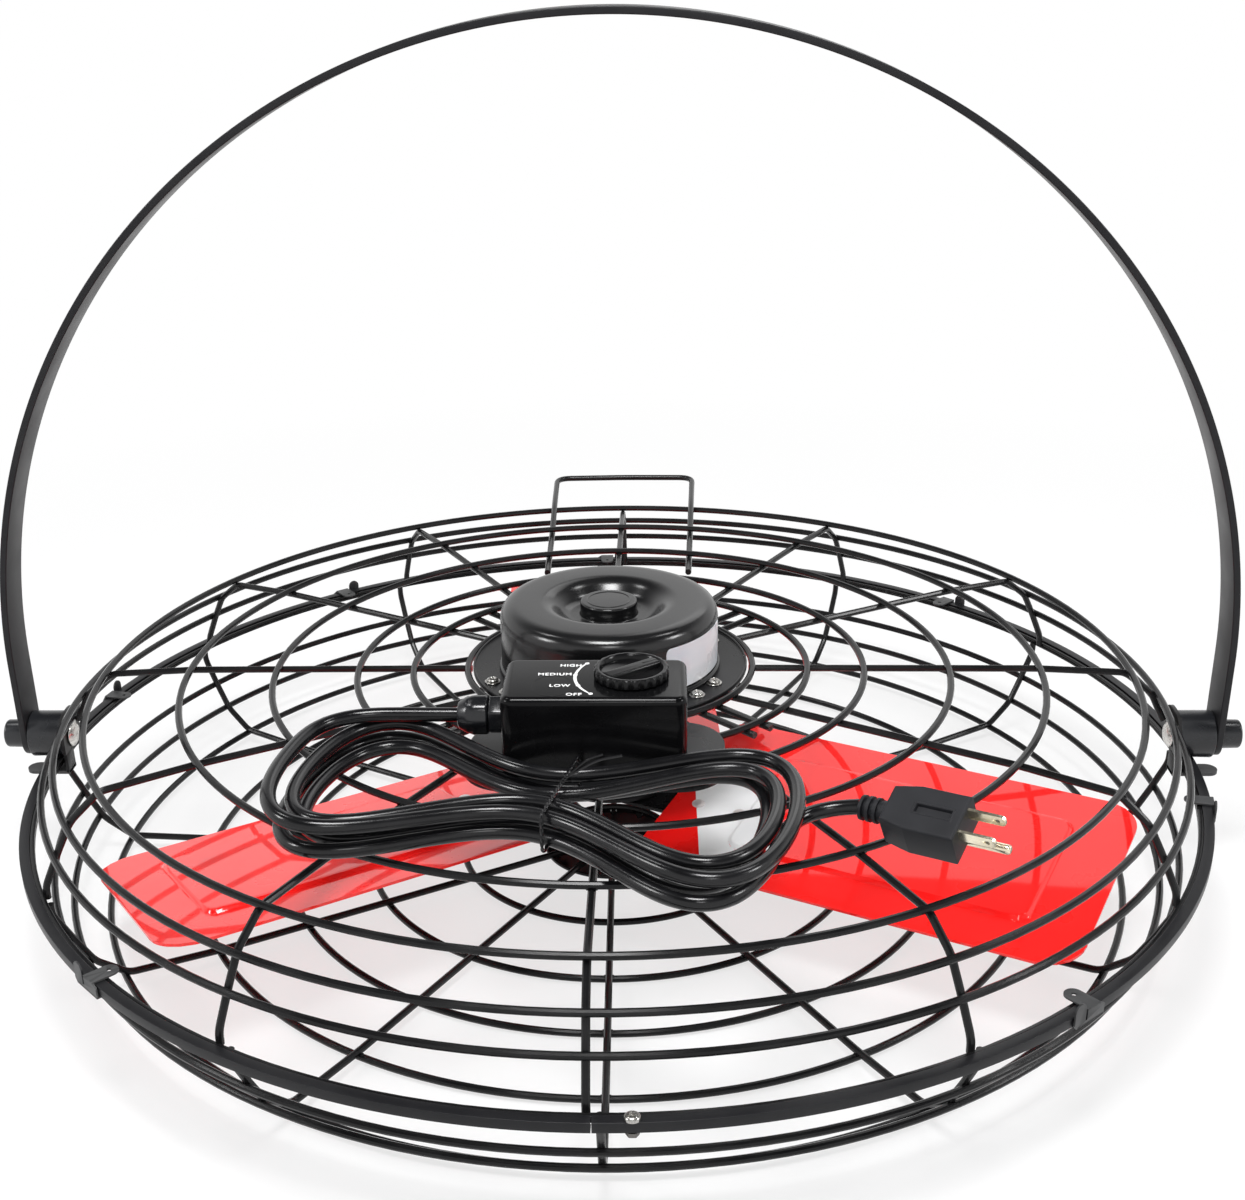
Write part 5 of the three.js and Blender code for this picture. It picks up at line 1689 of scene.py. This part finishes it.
@dataclass
class Cord:
    """The mains cord from the gland through the hank to the plug, with its twisted wire tie."""

    radius: float = 3.8
    exit: Place = (-73.4, -130.5, 151.5)
    middle: tuple[Place, ...] = (
        (-0.099, -0.1305, 0.1517),
        (-0.1175, -0.1305, 0.1517),
        (-0.1276, -0.1322, 0.1517),
        (-0.1366, -0.1372, 0.1517),
        (-0.1434, -0.1448, 0.1517),
    )
    hank_centre: tuple[float, float] = (-27.0, -198.0)
    hank_turn: float = math.radians(-13)
    loops: float = 3.5
    long: float = 127.0
    swell: float = 128.0
    waist: float = 24.5
    step_end: float = 8.6
    step_swell: float = 12.0
    step_waist: float = 11.9
    drawn: float = 10.0
    turn_steps: int = 96
    step: float = 1.9
    relax: float = 5.6
    swell_share: float = 1.7
    low: float = 133.2
    layer: float = 10.4
    lift: float = 8.1
    gap: float = 0.3
    tie_along: float = 11.0
    tail_radius: float = 22.4
    tail_straight: float = 2.0
    tail_end_z: float = 138.6
    tail_flat: float = 0.45
    plug_turn: float = math.radians(-32)
    plug_rise: float = math.radians(3)
    plug_roll: float = math.radians(26)
    plug_long: float = 37.0
    plug_half: float = 9.5
    plug_ease: float = 1.3
    prong_start: float = 36.5
    prong_long: float = 18.0
    prong_wide: float = 6.3
    prong_thick: float = 1.5
    prong_z: float = 5.0
    prong_apart: float = 6.35
    prong_hole: float = 1.6
    pin_radius: float = 2.4
    pin_end: float = 57.5
    pin_z: float = -6.9
    relief: float = 15.0
    rib_step: float = 3.7
    tie_room: float = 1.1
    tie_twists: int = 22
    strand: float = 0.62
    loose_ends: tuple[tuple[float, float, float], ...] = ((20, 7, 12), (29, 8, 11))

    def hank_point(self, turns: Array) -> Array:
        """The hank's middle line.

        In the hank's own plane x = (L - e w) cos a and y = (h - k w + (s - t w) |cos a|^1.7) sin a, where
        w is the number of turns to the nearer end. At its right end x is drawn in once past the middle
        turn. The height falls from the upper layer to the lower one in the middle of the hank, and
        from the gland's height in the first quarter turn.

        Args:
            turns: how many turns from its left end, one value for each point.

        Returns:
            The points, shape (n, 3).
        """
        inward = np.minimum(turns, self.loops - turns)
        angle = np.pi * (1 + 2 * turns)
        c, s = np.cos(angle), np.sin(angle)
        half = self.loops / 2
        drawn = self.drawn * np.maximum(c, 0) * soft_step(turns, half + 0.25, half + 0.75)
        x = (self.long - self.step_end * inward - drawn) * c
        swell = (self.swell - self.step_swell * inward) * abs(c) ** self.swell_share
        y = s * (self.waist - self.step_waist * inward + swell)
        fall = soft_step(turns, half - 0.25, half + 0.25)
        z = self.low + self.layer * (1 - fall) + self.lift * (1 - soft_step(turns, 0, 0.25))
        cos, sin = math.cos(self.hank_turn), math.sin(self.hank_turn)
        cx, cy = self.hank_centre
        return np.stack([cx + x * cos - y * sin, cy + x * sin + y * cos, z], -1)

    def hank(self) -> tuple[Array, Array, Array]:
        """The hank's line with a straight stretch of one diameter at each end.

        Returns:
            The line, and its direction at its start and at its end.
        """
        line = self.hank_point(np.linspace(0, self.loops, int(self.loops * self.turn_steps) + 1))
        tiny = 1e-4
        near = self.hank_point(np.array([0.0, tiny]))
        far = self.hank_point(np.array([self.loops - tiny, self.loops]))
        first, last = unit(near[1] - near[0]), unit(far[1] - far[0])
        ends = 2 * self.radius
        line = np.concatenate([line[:1] - first * ends, line, line[-1:] + last * ends])
        return line, first, last

    def lead(self) -> Array:
        """The stretch from the gland to the hank, through the given points.

        Returns:
            The points of a smooth line.
        """
        line, first, _ = self.hank()
        meet = line[0] - first * self.gap
        start = np.array(self.exit)
        ends = 2 * self.radius
        chosen = [np.array(p) / MM for p in self.middle]
        return spline(np.array([start, start - (ends, 0, 0), *chosen, meet - first * ends, meet]), 10)

    def tail(self) -> Array:
        """The stretch from the hank to the plug: an arc that turns right and climbs at its end.

        With the heading falling evenly from h to the plug's, x = x0 + R (sin h - sin a) and
        y = y0 - R (cos h - cos a).

        Returns:
            The points, with a short straight piece at each end.
        """
        line, _, last = self.hank()
        start = line[-1] + last * self.gap
        base = start + last * self.tail_straight
        heading = math.atan2(last[1], last[0])
        share = np.linspace(0, 1, 16)
        a = heading + (self.plug_turn - heading) * share
        x = base[0] + self.tail_radius * (math.sin(heading) - np.sin(a))
        y = base[1] - self.tail_radius * (math.cos(heading) - np.cos(a))
        climb = soft_step(share, self.tail_flat, 1 + self.tail_flat / 2)
        points = np.column_stack([x, y, start[2] + (self.tail_end_z - start[2]) * climb])
        way = np.array([math.cos(self.plug_turn), math.sin(self.plug_turn), math.sin(self.plug_rise)])
        end = points[-1:] + unit(way) * self.tail_straight
        return np.concatenate([start[None], points, end])

    def route(self) -> Array:
        """The cord's whole middle line, at even steps."""
        whole = np.concatenate([self.lead(), self.hank()[0], self.tail()])
        return relaxed(evenly(whole, self.step), self.relax)

    def plug_place(self) -> Array:
        """Where the plug lies.

        Returns:
            Its matrix, with the origin where the body meets the relief and X along the prongs.
        """
        turn = spin("Z", self.plug_turn) @ spin("Y", -self.plug_rise)
        origin = self.tail()[-1] + turn[:3, 0] * (self.relief + self.gap)
        return shift(*origin) @ turn @ spin("X", self.plug_roll)

    def plug_half_width(self, x: Array) -> Array:
        """Half the plug body's width: narrow at the cord, widening softly to the prong face."""
        return 10.0 + 3.0 * np.clip(x / 13.0, 0, 1)

    def plug_body(self) -> Skin:
        """The moulded body between two faces, the upper one with its slot.

        The face is T - e (1 - sqrt(1 - (1 - d/e)^2)), where d is the distance to the nearest edge, less
        the slot's depth inside a rectangle and plus a low lip round it.

        Returns:
            The closed skin.
        """
        long, thick, ease = self.plug_long, self.plug_half, self.plug_ease

        def edge_drop(x: Array, y: Array) -> Array:
            """How far the face sinks near an edge.

            Args:
                x: places along the body.
                y: places across it.

            Returns:
                e (1 - sqrt(1 - (1 - d/e)^2)) at each.
            """
            d = np.minimum(np.minimum(x, long - x), self.plug_half_width(x) - abs(y))
            t = np.clip(1 - d / ease, 0, 1)
            return ease * (1 - np.sqrt(1 - t**2))

        def slot(x: Array, y: Array) -> Array:
            """How deep the slot is.

            Args:
                x: places along the body.
                y: places across it.

            Returns:
                The depth at each, below zero on the slot's lip.
            """
            inside = np.minimum(8.6 - abs(x - 23.0), 2.3 - abs(y))
            lip = soft_step(inside, -1.2, -0.8) * (1 - soft_step(inside, -0.3, 0.0))
            return 1.4 * soft_step(inside, 0.0, 0.35) - 0.35 * lip

        x = graded([0.0, 13.9, 32.1, long], 0.22, 1.2, 1.6)
        share = graded([-1.0, -0.19, 0.19, 1.0], 0.018, 0.08, 0.13)
        return pressed(x, share, self.plug_half_width,
                       lambda a, b: thick - edge_drop(a, b) - slot(a, b),
                       lambda a, b: edge_drop(a, b) - thick)

    def relief_skin(self) -> Skin:
        """The ribbed relief: a tapered neck with rings that carry it, turned about X.

        Returns:
            The closed skin.
        """
        x = np.linspace(-self.relief, 0.6, 160)
        taper = 4.3 + 1.0 * (x + self.relief) / self.relief
        ribs = soft_step(np.cos((x + self.relief - 1.6) * TURN / self.rib_step), -0.2, 0.3)
        radius = np.minimum(taper + 1.7 * ribs * (x < -3.2) + 0.5 * (x >= -3.2), 6.2)
        profile = np.concatenate([[(0, -self.relief)], np.column_stack([radius, x]), [(0, 0.6)]])
        return along_x(profile, 0, 0, 48)

    def flat_prong(self, side: int) -> Skin:
        """A flat prong with a round hole near its end, its end drawn in.

        Args:
            side: -1 for the near prong, 1 for the far one.

        Returns:
            The closed skin in the plug's own frame.
        """
        start, z, half, thick = self.prong_start, self.prong_z, self.prong_wide / 2, self.prong_thick
        end = start + self.prong_long
        under = [(start, z - half), (end - 1.6, z - half), (end, z - half + 1.4)]
        over = [(end, z + half - 1.4), (end - 1.6, z + half), (start, z + half)]
        outline = eased(under + over, 0.5, 3, closed=True)
        hole = (start + 0.77 * self.prong_long, z)
        sheet = sheet_with_hole(outline, hole, self.prong_hole, -thick / 2, thick / 2)
        along, up, across = sheet.points.T
        return Skin(np.column_stack([along, side * self.prong_apart + across, up]), sheet.faces)

    def round_pin(self) -> Skin:
        """The ground pin with its rounded end, a profile turned about its own line.

        Returns:
            The closed skin in the plug's own frame.
        """
        r, start, end = self.pin_radius, self.prong_start, self.pin_end
        profile = eased([(0, start), (r, start), (r, end), (0, end)], (0, 0, 2.3, 0), 6)
        return along_x(profile, 0, self.pin_z, 32)

    def tie_loop(self, place: Array, high: float) -> list[Skin]:
        """Two strands twisted round the hank's waist.

        A strand is C(i) + r (cos b U + sin b V), with b growing along the line.

        Args:
            place: the matrix of the plane that cuts the hank.
            high: the height of the loop's upper side.

        Returns:
            The two closed strands.
        """
        room = self.radius + self.tie_room
        half = self.waist + room + 2.2
        box = rounded_box((-half, self.low - room), (half, high), 3.8, steps=8)
        flat = np.column_stack([np.zeros(len(box)), box])
        loop = evenly(np.concatenate([flat, flat[:1]]) @ place[:3, :3].T + place[:3, 3], 0.9)[:-1]
        along = unit(np.roll(loop, -1, 0) - np.roll(loop, 1, 0))
        u = unit(np.cross(along, place[:3, 0]))
        v = np.broadcast_to(place[:3, 0], u.shape)
        phase = np.arange(len(loop)) / len(loop) * TURN * self.tie_twists
        strands = []
        for start in (0.0, math.pi):
            line = loop + 0.45 * (np.cos(phase + start)[:, None] * u + np.sin(phase + start)[:, None] * v)
            strands.append(tube(line, self.strand, 6, closed=True, reference=place[:3, 0]))
        return strands

    def tie(self) -> list[Skin]:
        """The wire tie: a twisted loop round the hank's waist, and two loose ends from the knot.

        Returns:
            The loop's strands, the knot's two coils and the loose ends.
        """
        high = self.low + self.layer + self.radius + self.tie_room
        place = shift(*self.hank_centre, 0) @ spin("Z", self.hank_turn) @ shift(self.tie_along, 0, 0)
        skins = self.tie_loop(place, high)
        top = place[:3, 3] + np.array([0, 0, high])
        knot = top + np.array([4.5, 3.0, 4.5])
        t = np.linspace(0, 1, 30)[:, None]
        for start in (0.0, math.pi):
            angle = t[:, 0] * TURN * 2.5 + start
            coil = top + (knot - top) * t + 0.6 * np.stack([np.zeros(30), np.cos(angle), np.sin(angle)], -1)
            skins.append(tube(coil, 0.7, 6))
        for tail in self.loose_ends:
            tip = top + np.array(tail, float)
            line = spline(np.array([top + (knot - top) * 0.6, (knot + tip) / 2 + (0, 0, 1.5), tip]), 10)
            skins.append(tube(line, 0.7, 8))
        return skins

    def build(self) -> None:
        path, place = self.route(), self.plug_place()
        nodes = ["power_cord", "cord_hank", "cord_tail"]
        cord = make_piece("mains_cord", tube(path, self.radius, 14), Look.JACKET, "basket", nodes)
        moulding = together([self.plug_body(), self.relief_skin()]).placed(place)
        plug = make_piece("plug_moulding", moulding, Look.PLUG, "basket", ["plug_body"], 40)
        prongs = [
            make_piece("plug_prong_" + name, skin.placed(place), Look.PRONG, "basket", [node])
            for name, skin, node in (
                ("near", self.flat_prong(-1), "plug_blade_near"),
                ("far", self.flat_prong(1), "plug_blade_far"),
                ("ground", self.round_pin(), "plug_ground_pin"),
            )
        ]
        twist = together(self.tie())
        tie = make_piece("cord_wire_tie", twist, Look.JACKET, "basket", ["cord_tie"])


# The bail and its pivots


@dataclass
class Pivot:
    """One pivot of the bail: bracket, sleeve, bolt and knob.

    It is drawn on the right, and side is 1 there and -1 for its mirror image on the left.
    """

    name: str
    side: float
    knob_body: str
    z: float = 77.0
    bore: float = 4.3
    bracket_x: float = 330.3
    bracket_sheet: float = 2.0
    bracket_half: float = 14.0
    bracket_low: float = 68.2
    bracket_high: float = 93.0
    tab_z: float = 55.55
    tab_sheet: float = 2.0
    tab_near: float = -13.0
    tab_far: float = -1.0
    tab_end: float = 357.8
    sleeve_radius: float = 14.0
    sleeve_end: float = 353.2
    band_top: float = 65.95
    band_reach: float = 344.2
    bolt_radius: float = 4.0
    bolt_end: float = 364.0
    head_radius: float = 8.0
    knob_start: float = 357.8
    knob_floor: float = 364.3
    knob_end: float = 369.8

    def sleeve(self) -> Skin:
        """The plastic sleeve, flattened where it passes over the band.

        Returns:
            The profile turned about the pivot's line.
        """
        start, end, r = self.bracket_x + 2.3, self.sleeve_end, self.sleeve_radius
        profile = eased([(self.bore, start), (r, start), (r, end), (self.bore, end)], 0.8, 4, closed=True)
        skin = along_x(profile, 0, self.z, 72)
        near = skin.points[:, 0] < self.band_reach + 4
        skin.points[:, 2] = np.where(near, np.maximum(skin.points[:, 2], self.band_top), skin.points[:, 2])
        return skin

    def bolt(self) -> Skin:
        """The bolt's low domed head inside the bracket, and its shank.

        Returns:
            The profile turned about the pivot's line.
        """
        face, r, shank = self.bracket_x - 0.3, self.head_radius, self.bolt_radius
        head = [(0, face - 3.4), (5.0, face - 3.0), (r, face - 1.0), (r, face), (shank, face)]
        return along_x(eased([*head, (shank, self.bolt_end), (0, self.bolt_end)], 0.8, 4), 0, self.z)

    def knob(self) -> Skin:
        """The outer knob, slightly tapered and rounded at its end.

        Returns:
            The profile turned about the pivot's line.
        """
        start, floor, end = self.knob_start, self.knob_floor, self.knob_end
        inside = [(0, floor), (self.bore, floor), (self.bore, start)]
        profile = eased([*inside, (8.6, start), (8.4, end), (0, end)], 1.5, 6)
        return along_x(profile, 0, self.z)

    def bracket(self) -> Skin:
        """The bracket's upright sheet with round upper corners, and the strap that hangs from it.

        Both outlines lie in Y and Z and are carried along X over the sheet's thickness.

        Returns:
            The sheet with the bolt's hole, and the strap.
        """
        x, t, half = self.bracket_x, self.bracket_sheet, self.bracket_half
        low, high = self.bracket_low, self.bracket_high
        corners = [(-half, low), (half, low), (half, high), (-half, high)]
        outline = eased(corners, (2.0, 2.0, 11.2, 11.2), 8, closed=True)
        sheet = sheet_with_hole(outline, (0.0, self.z), self.bore, x, x + t)
        near, far = (self.tab_near, self.tab_z), (self.tab_far, 69.0)
        strap = slab(lambda inset: rounded_box(near, far, 1.0, inset, 2), layers(x, x + t, 0.3, 0.3, 2))
        flat = together([sheet, strap])
        return Skin(flat.points[:, [2, 0, 1]], flat.faces)

    def tab(self) -> Skin:
        """The bracket's round-ended tab below the sleeve.

        Returns:
            The closed skin.
        """
        low, high = (self.bracket_x, self.tab_near), (self.tab_end, self.tab_far)
        outline = rounded_box(low, high, 6.0, steps=8)
        outline[:, 0] = np.where(outline[:, 0] < self.bracket_x + 7, self.bracket_x, outline[:, 0])
        return slab(lambda inset: outline, [(0.0, self.tab_z), (0.0, self.tab_z + self.tab_sheet)])

    def build(self) -> None:
        """Makes the bracket, the sleeve, the bolt and the knob, mirrored for the left."""
        tab = self.tab().placed(np.diag([self.side, 1.0, 1.0, 1.0]))
        self.make("bracket_sheet", "bracket", self.bracket(), Look.SHEET, "basket")
        # Painted highlight: the tab is the bracket's black sheet, but it gets the lighter grey clip coating
        # to stand for the light it catches.
        make_piece(f"pivot_tab_{self.name}", tab, Look.CLIP, "basket")
        self.make("sleeve", "spacer", self.sleeve(), Look.SLEEVE, "basket")
        self.make("bolt_head", "bolt", self.bolt(), Look.STEEL, "basket")
        self.make("cap", "knob", self.knob(), Look.SLEEVE, self.knob_body)

    def make(self, word: str, node: str, skin: Skin, look: Look, body: str) -> None:
        """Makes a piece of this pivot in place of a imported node.

        Args:
            word: the middle of the piece's name.
            node: the middle of the node's name.
            skin: its surface as drawn on the right.
            look: its finish.
            body: the body that it rides on.
        """
        placed = skin.placed(np.diag([self.side, 1.0, 1.0, 1.0]))
        make_piece(f"pivot_{word}_{self.name}", placed, look, body, [f"pivot_{node}_{self.name}"])


@dataclass
class Bail:
    """The flat bar bent to an arch, with round ends on the pivots."""

    radius: float = 355.5
    thick: float = 4.0
    wide: float = 25.0
    edge: float = 0.7
    centre_z: float = 125.5
    pivot_z: float = 77.0

    def line(self) -> tuple[Array, Array]:
        """The bar's middle line and its width, the ends drawn in as half circles.

        The arch is (R cos a, z0 + R sin a), and near an end the width is cos b where z = z1 - w sin b.

        Returns:
            The line from the right end to the left one, and the width at each point as a share.
        """
        half = self.wide / 2
        drop = np.linspace(np.pi / 2, 0, 12)
        end_z = self.pivot_z - half * np.sin(drop)
        share = np.maximum(np.cos(drop), 0.02)
        rise = np.linspace(self.pivot_z, self.centre_z, 8)[1:]
        arc = np.linspace(0, np.pi, 181)[1:-1]
        right = np.concatenate([end_z, rise])
        upright = np.full(len(right), self.radius)
        x = np.concatenate([upright, self.radius * np.cos(arc), -upright])
        z = np.concatenate([right, self.centre_z + self.radius * np.sin(arc), right[::-1]])
        widths = np.concatenate([share, np.ones(2 * len(rise) + len(arc)), share[::-1]])
        return np.column_stack([x, np.zeros(len(x)), z]), widths

    def build(self) -> None:
        """Makes the bar by carrying its eased section along the arch."""
        path, widths = self.line()
        half = np.array([self.wide, self.thick]) / 2
        section = rounded_box(-half, half, self.edge, steps=4)
        out = path - np.array([0, 0, self.centre_z])
        out[:, 2] = np.maximum(out[:, 2], 0)
        scale = np.column_stack([widths, np.ones(len(widths))])
        skin = carried(path, section, reference=unit(out), scale=scale)
        make_piece("bail_bar", skin, Look.BAND, "bail_body", ["bail"])


# The studio


@dataclass
class Studio:
    """Camera, lamps, world and floor."""

    camera_place: Place = (0.0354, -0.8878, 0.5116)
    right: Place = (0.9985, 0.0493, -0.0235)
    up: Place = (0.0014, 0.4073, 0.9133)
    back: Place = (0.0546, -0.912, 0.4066)
    lens: float = 47.52
    shift_x: float = 0.0341
    shift_y: float = 0.0598
    sensor: float = 36.0
    floor_reach: float = 40.0
    floor_z: float = -0.0004

    def camera(self) -> None:
        """Sets the camera at the photograph's place and angle."""
        data = bpy.data.cameras.new("photo_camera")
        data.sensor_width, data.lens = self.sensor, self.lens
        data.sensor_fit = "HORIZONTAL"
        data.shift_x, data.shift_y = self.shift_x, self.shift_y
        data.clip_start = 0.01
        camera = bpy.data.objects.new("photo_camera", data)
        axes = np.array([self.right, self.up, self.back]).T
        camera.matrix_world = Matrix.Translation(self.camera_place) @ Matrix(axes.tolist()).to_4x4()
        bpy.context.scene.collection.objects.link(camera)
        bpy.context.scene.camera = camera

    def lamp(self, name: str, place: Place, target: Place, size: float, power: float) -> None:
        """Adds a square soft lamp.

        Args:
            name: its name.
            place: where it hangs, in metres.
            target: what it points at, in metres.
            size: its side, in metres.
            power: its power in watts.
        """
        data = bpy.data.lights.new(name, "AREA")
        data.shape, data.size, data.energy = "SQUARE", size, power
        lamp = bpy.data.objects.new(name, data)
        aim = Matrix.Translation(place).to_translation() - Matrix.Translation(target).to_translation()
        lamp.matrix_world = Matrix.Translation(place) @ aim.to_track_quat("Z", "Y").to_matrix().to_4x4()
        bpy.context.scene.collection.objects.link(lamp)

    def seen(self, g: Graph) -> bpy.types.NodeSocket:
        """Which rays see the background.

        Args:
            g: the nodes that ask.

        Returns:
            1 on camera, glossy and transmission rays, so that metal shows the same background, else 0.
        """
        ray = g.add("ShaderNodeLightPath", {}).outputs
        first = {0: ray["Is Camera Ray"], 1: ray["Is Glossy Ray"]}
        both = g.add("ShaderNodeMath", first, operation="MAXIMUM").outputs[0]
        second = {0: both, 1: ray["Is Transmission Ray"]}
        return g.add("ShaderNodeMath", second, operation="MAXIMUM").outputs[0]

    def world(self) -> None:
        """A white room with a dark ceiling.

        With h the height of a ray's direction, the strength is 1 up to h = 0.38 and falls evenly to 0.08 at
        h = 0.72. It is used whole for what is seen and times 0.95 for the light on the fan.
        """
        g = Graph(bpy.data.worlds.new("white_room"))
        direction = g.add("ShaderNodeTexCoord", {}).outputs["Generated"]
        height = g.add("ShaderNodeSeparateXYZ", {"Vector": direction}).outputs["Z"]
        ceiling = g.spread(height, 0.38, 0.72, 1.0, 0.08)
        share = g.spread(self.seen(g), 0.0, 1.0, 0.95, 1.0)
        strength = g.add("ShaderNodeMath", {0: ceiling, 1: share}, operation="MULTIPLY").outputs[0]
        shade = g.add("ShaderNodeBackground", {"Color": (1, 1, 1, 1), "Strength": strength})
        bpy.context.scene.world = g.finish(shade, "ShaderNodeOutputWorld")

    def floor(self) -> None:
        """A wide pale floor that keeps the fan's shadow near it and is plain white further off."""
        reach, low = self.floor_reach, self.floor_z
        mesh = bpy.data.meshes.new("floor")
        corners = [(-reach, -reach, low), (reach, -reach, low), (reach, reach, low), (-reach, reach, low)]
        mesh.from_pydata(corners, [], [[0, 1, 2, 3]])
        g = Graph(bpy.data.materials.new("pale_floor"))
        cloud = g.spread(g.noise(3.0, 3.0), 0.3, 0.7, 0.0, 1.0)
        tone = g.blend(cloud, (0.86, 0.86, 0.865), (0.84, 0.84, 0.845))
        paint = g.add("ShaderNodeBsdfPrincipled", {"Base Color": tone, "Roughness": 0.55})
        glow = g.add("ShaderNodeEmission", {"Color": (1, 1, 1, 1), "Strength": 1.0})
        out = g.add("ShaderNodeVectorMath", {0: g.place}, operation="LENGTH").outputs["Value"]
        fade = g.spread(out, 0.4, 1.1, 0.7, 1.0)
        share = g.add("ShaderNodeMath", {0: self.seen(g), 1: fade}, operation="MULTIPLY").outputs[0]
        mix = g.add("ShaderNodeMixShader", {0: share, 1: paint.outputs[0], 2: glow.outputs[0]})
        mesh.materials.append(g.finish(mix))
        floor = bpy.data.objects.new("floor", mesh)
        bpy.context.scene.collection.objects.link(floor)

    def build(self) -> None:
        """Makes the camera, the lamps, the world and the floor."""
        scene = bpy.context.scene
        scene.view_settings.view_transform = "Standard"
        self.camera()
        self.lamp("overhead_box", (-0.1, -0.5, 1.9), (0, 0, 0.1), 0.55, 27)
        self.lamp("far_box", (0.44, 1.6, 1.4), (0.1, 0, 0.1), 0.8, 2.5)
        self.lamp("left_strip", (-1.07, 0.4, 1.9), (-0.3, 0, 0.1), 0.3, 4)
        self.lamp("right_strip", (0.95, 0.4, 1.9), (0.3, 0, 0.1), 0.3, 4)
        self.lamp("left_box", (-1.6, -0.5, 1.15), (0, 0, 0.15), 0.4, 10)
        self.lamp("right_box", (1.7, -0.3, 1.25), (0, 0, 0.15), 0.4, 10)
        self.lamp("front_box", (0.1, -1.9, 1.7), (0, 0, 0.1), 0.5, 6)
        self.world()
        self.floor()


def main() -> None:
    """Builds every sub-assembly in order."""
    logging.basicConfig(level=logging.INFO, format="%(message)s")
    Studio().build()
    Cord().build()
    WireGuard(Side.REAR, inner_ring=115.4, rib_start=81.5).build()
    WireGuard(Side.FRONT, inner_ring=91.6, rib_start=32.0, rib_turn=math.radians(1)).build()
    BandJoint().build()
    FrontPlate().build()
    TiltHandle().build()
    Motor().build()
    Propeller().build()
    SwitchBox().build()
    Pivot("right", 1.0, "right_knob").build()
    Pivot("left", -1.0, "left_knob").build()
    Bail().build()


if __name__ == "__main__":
    main()
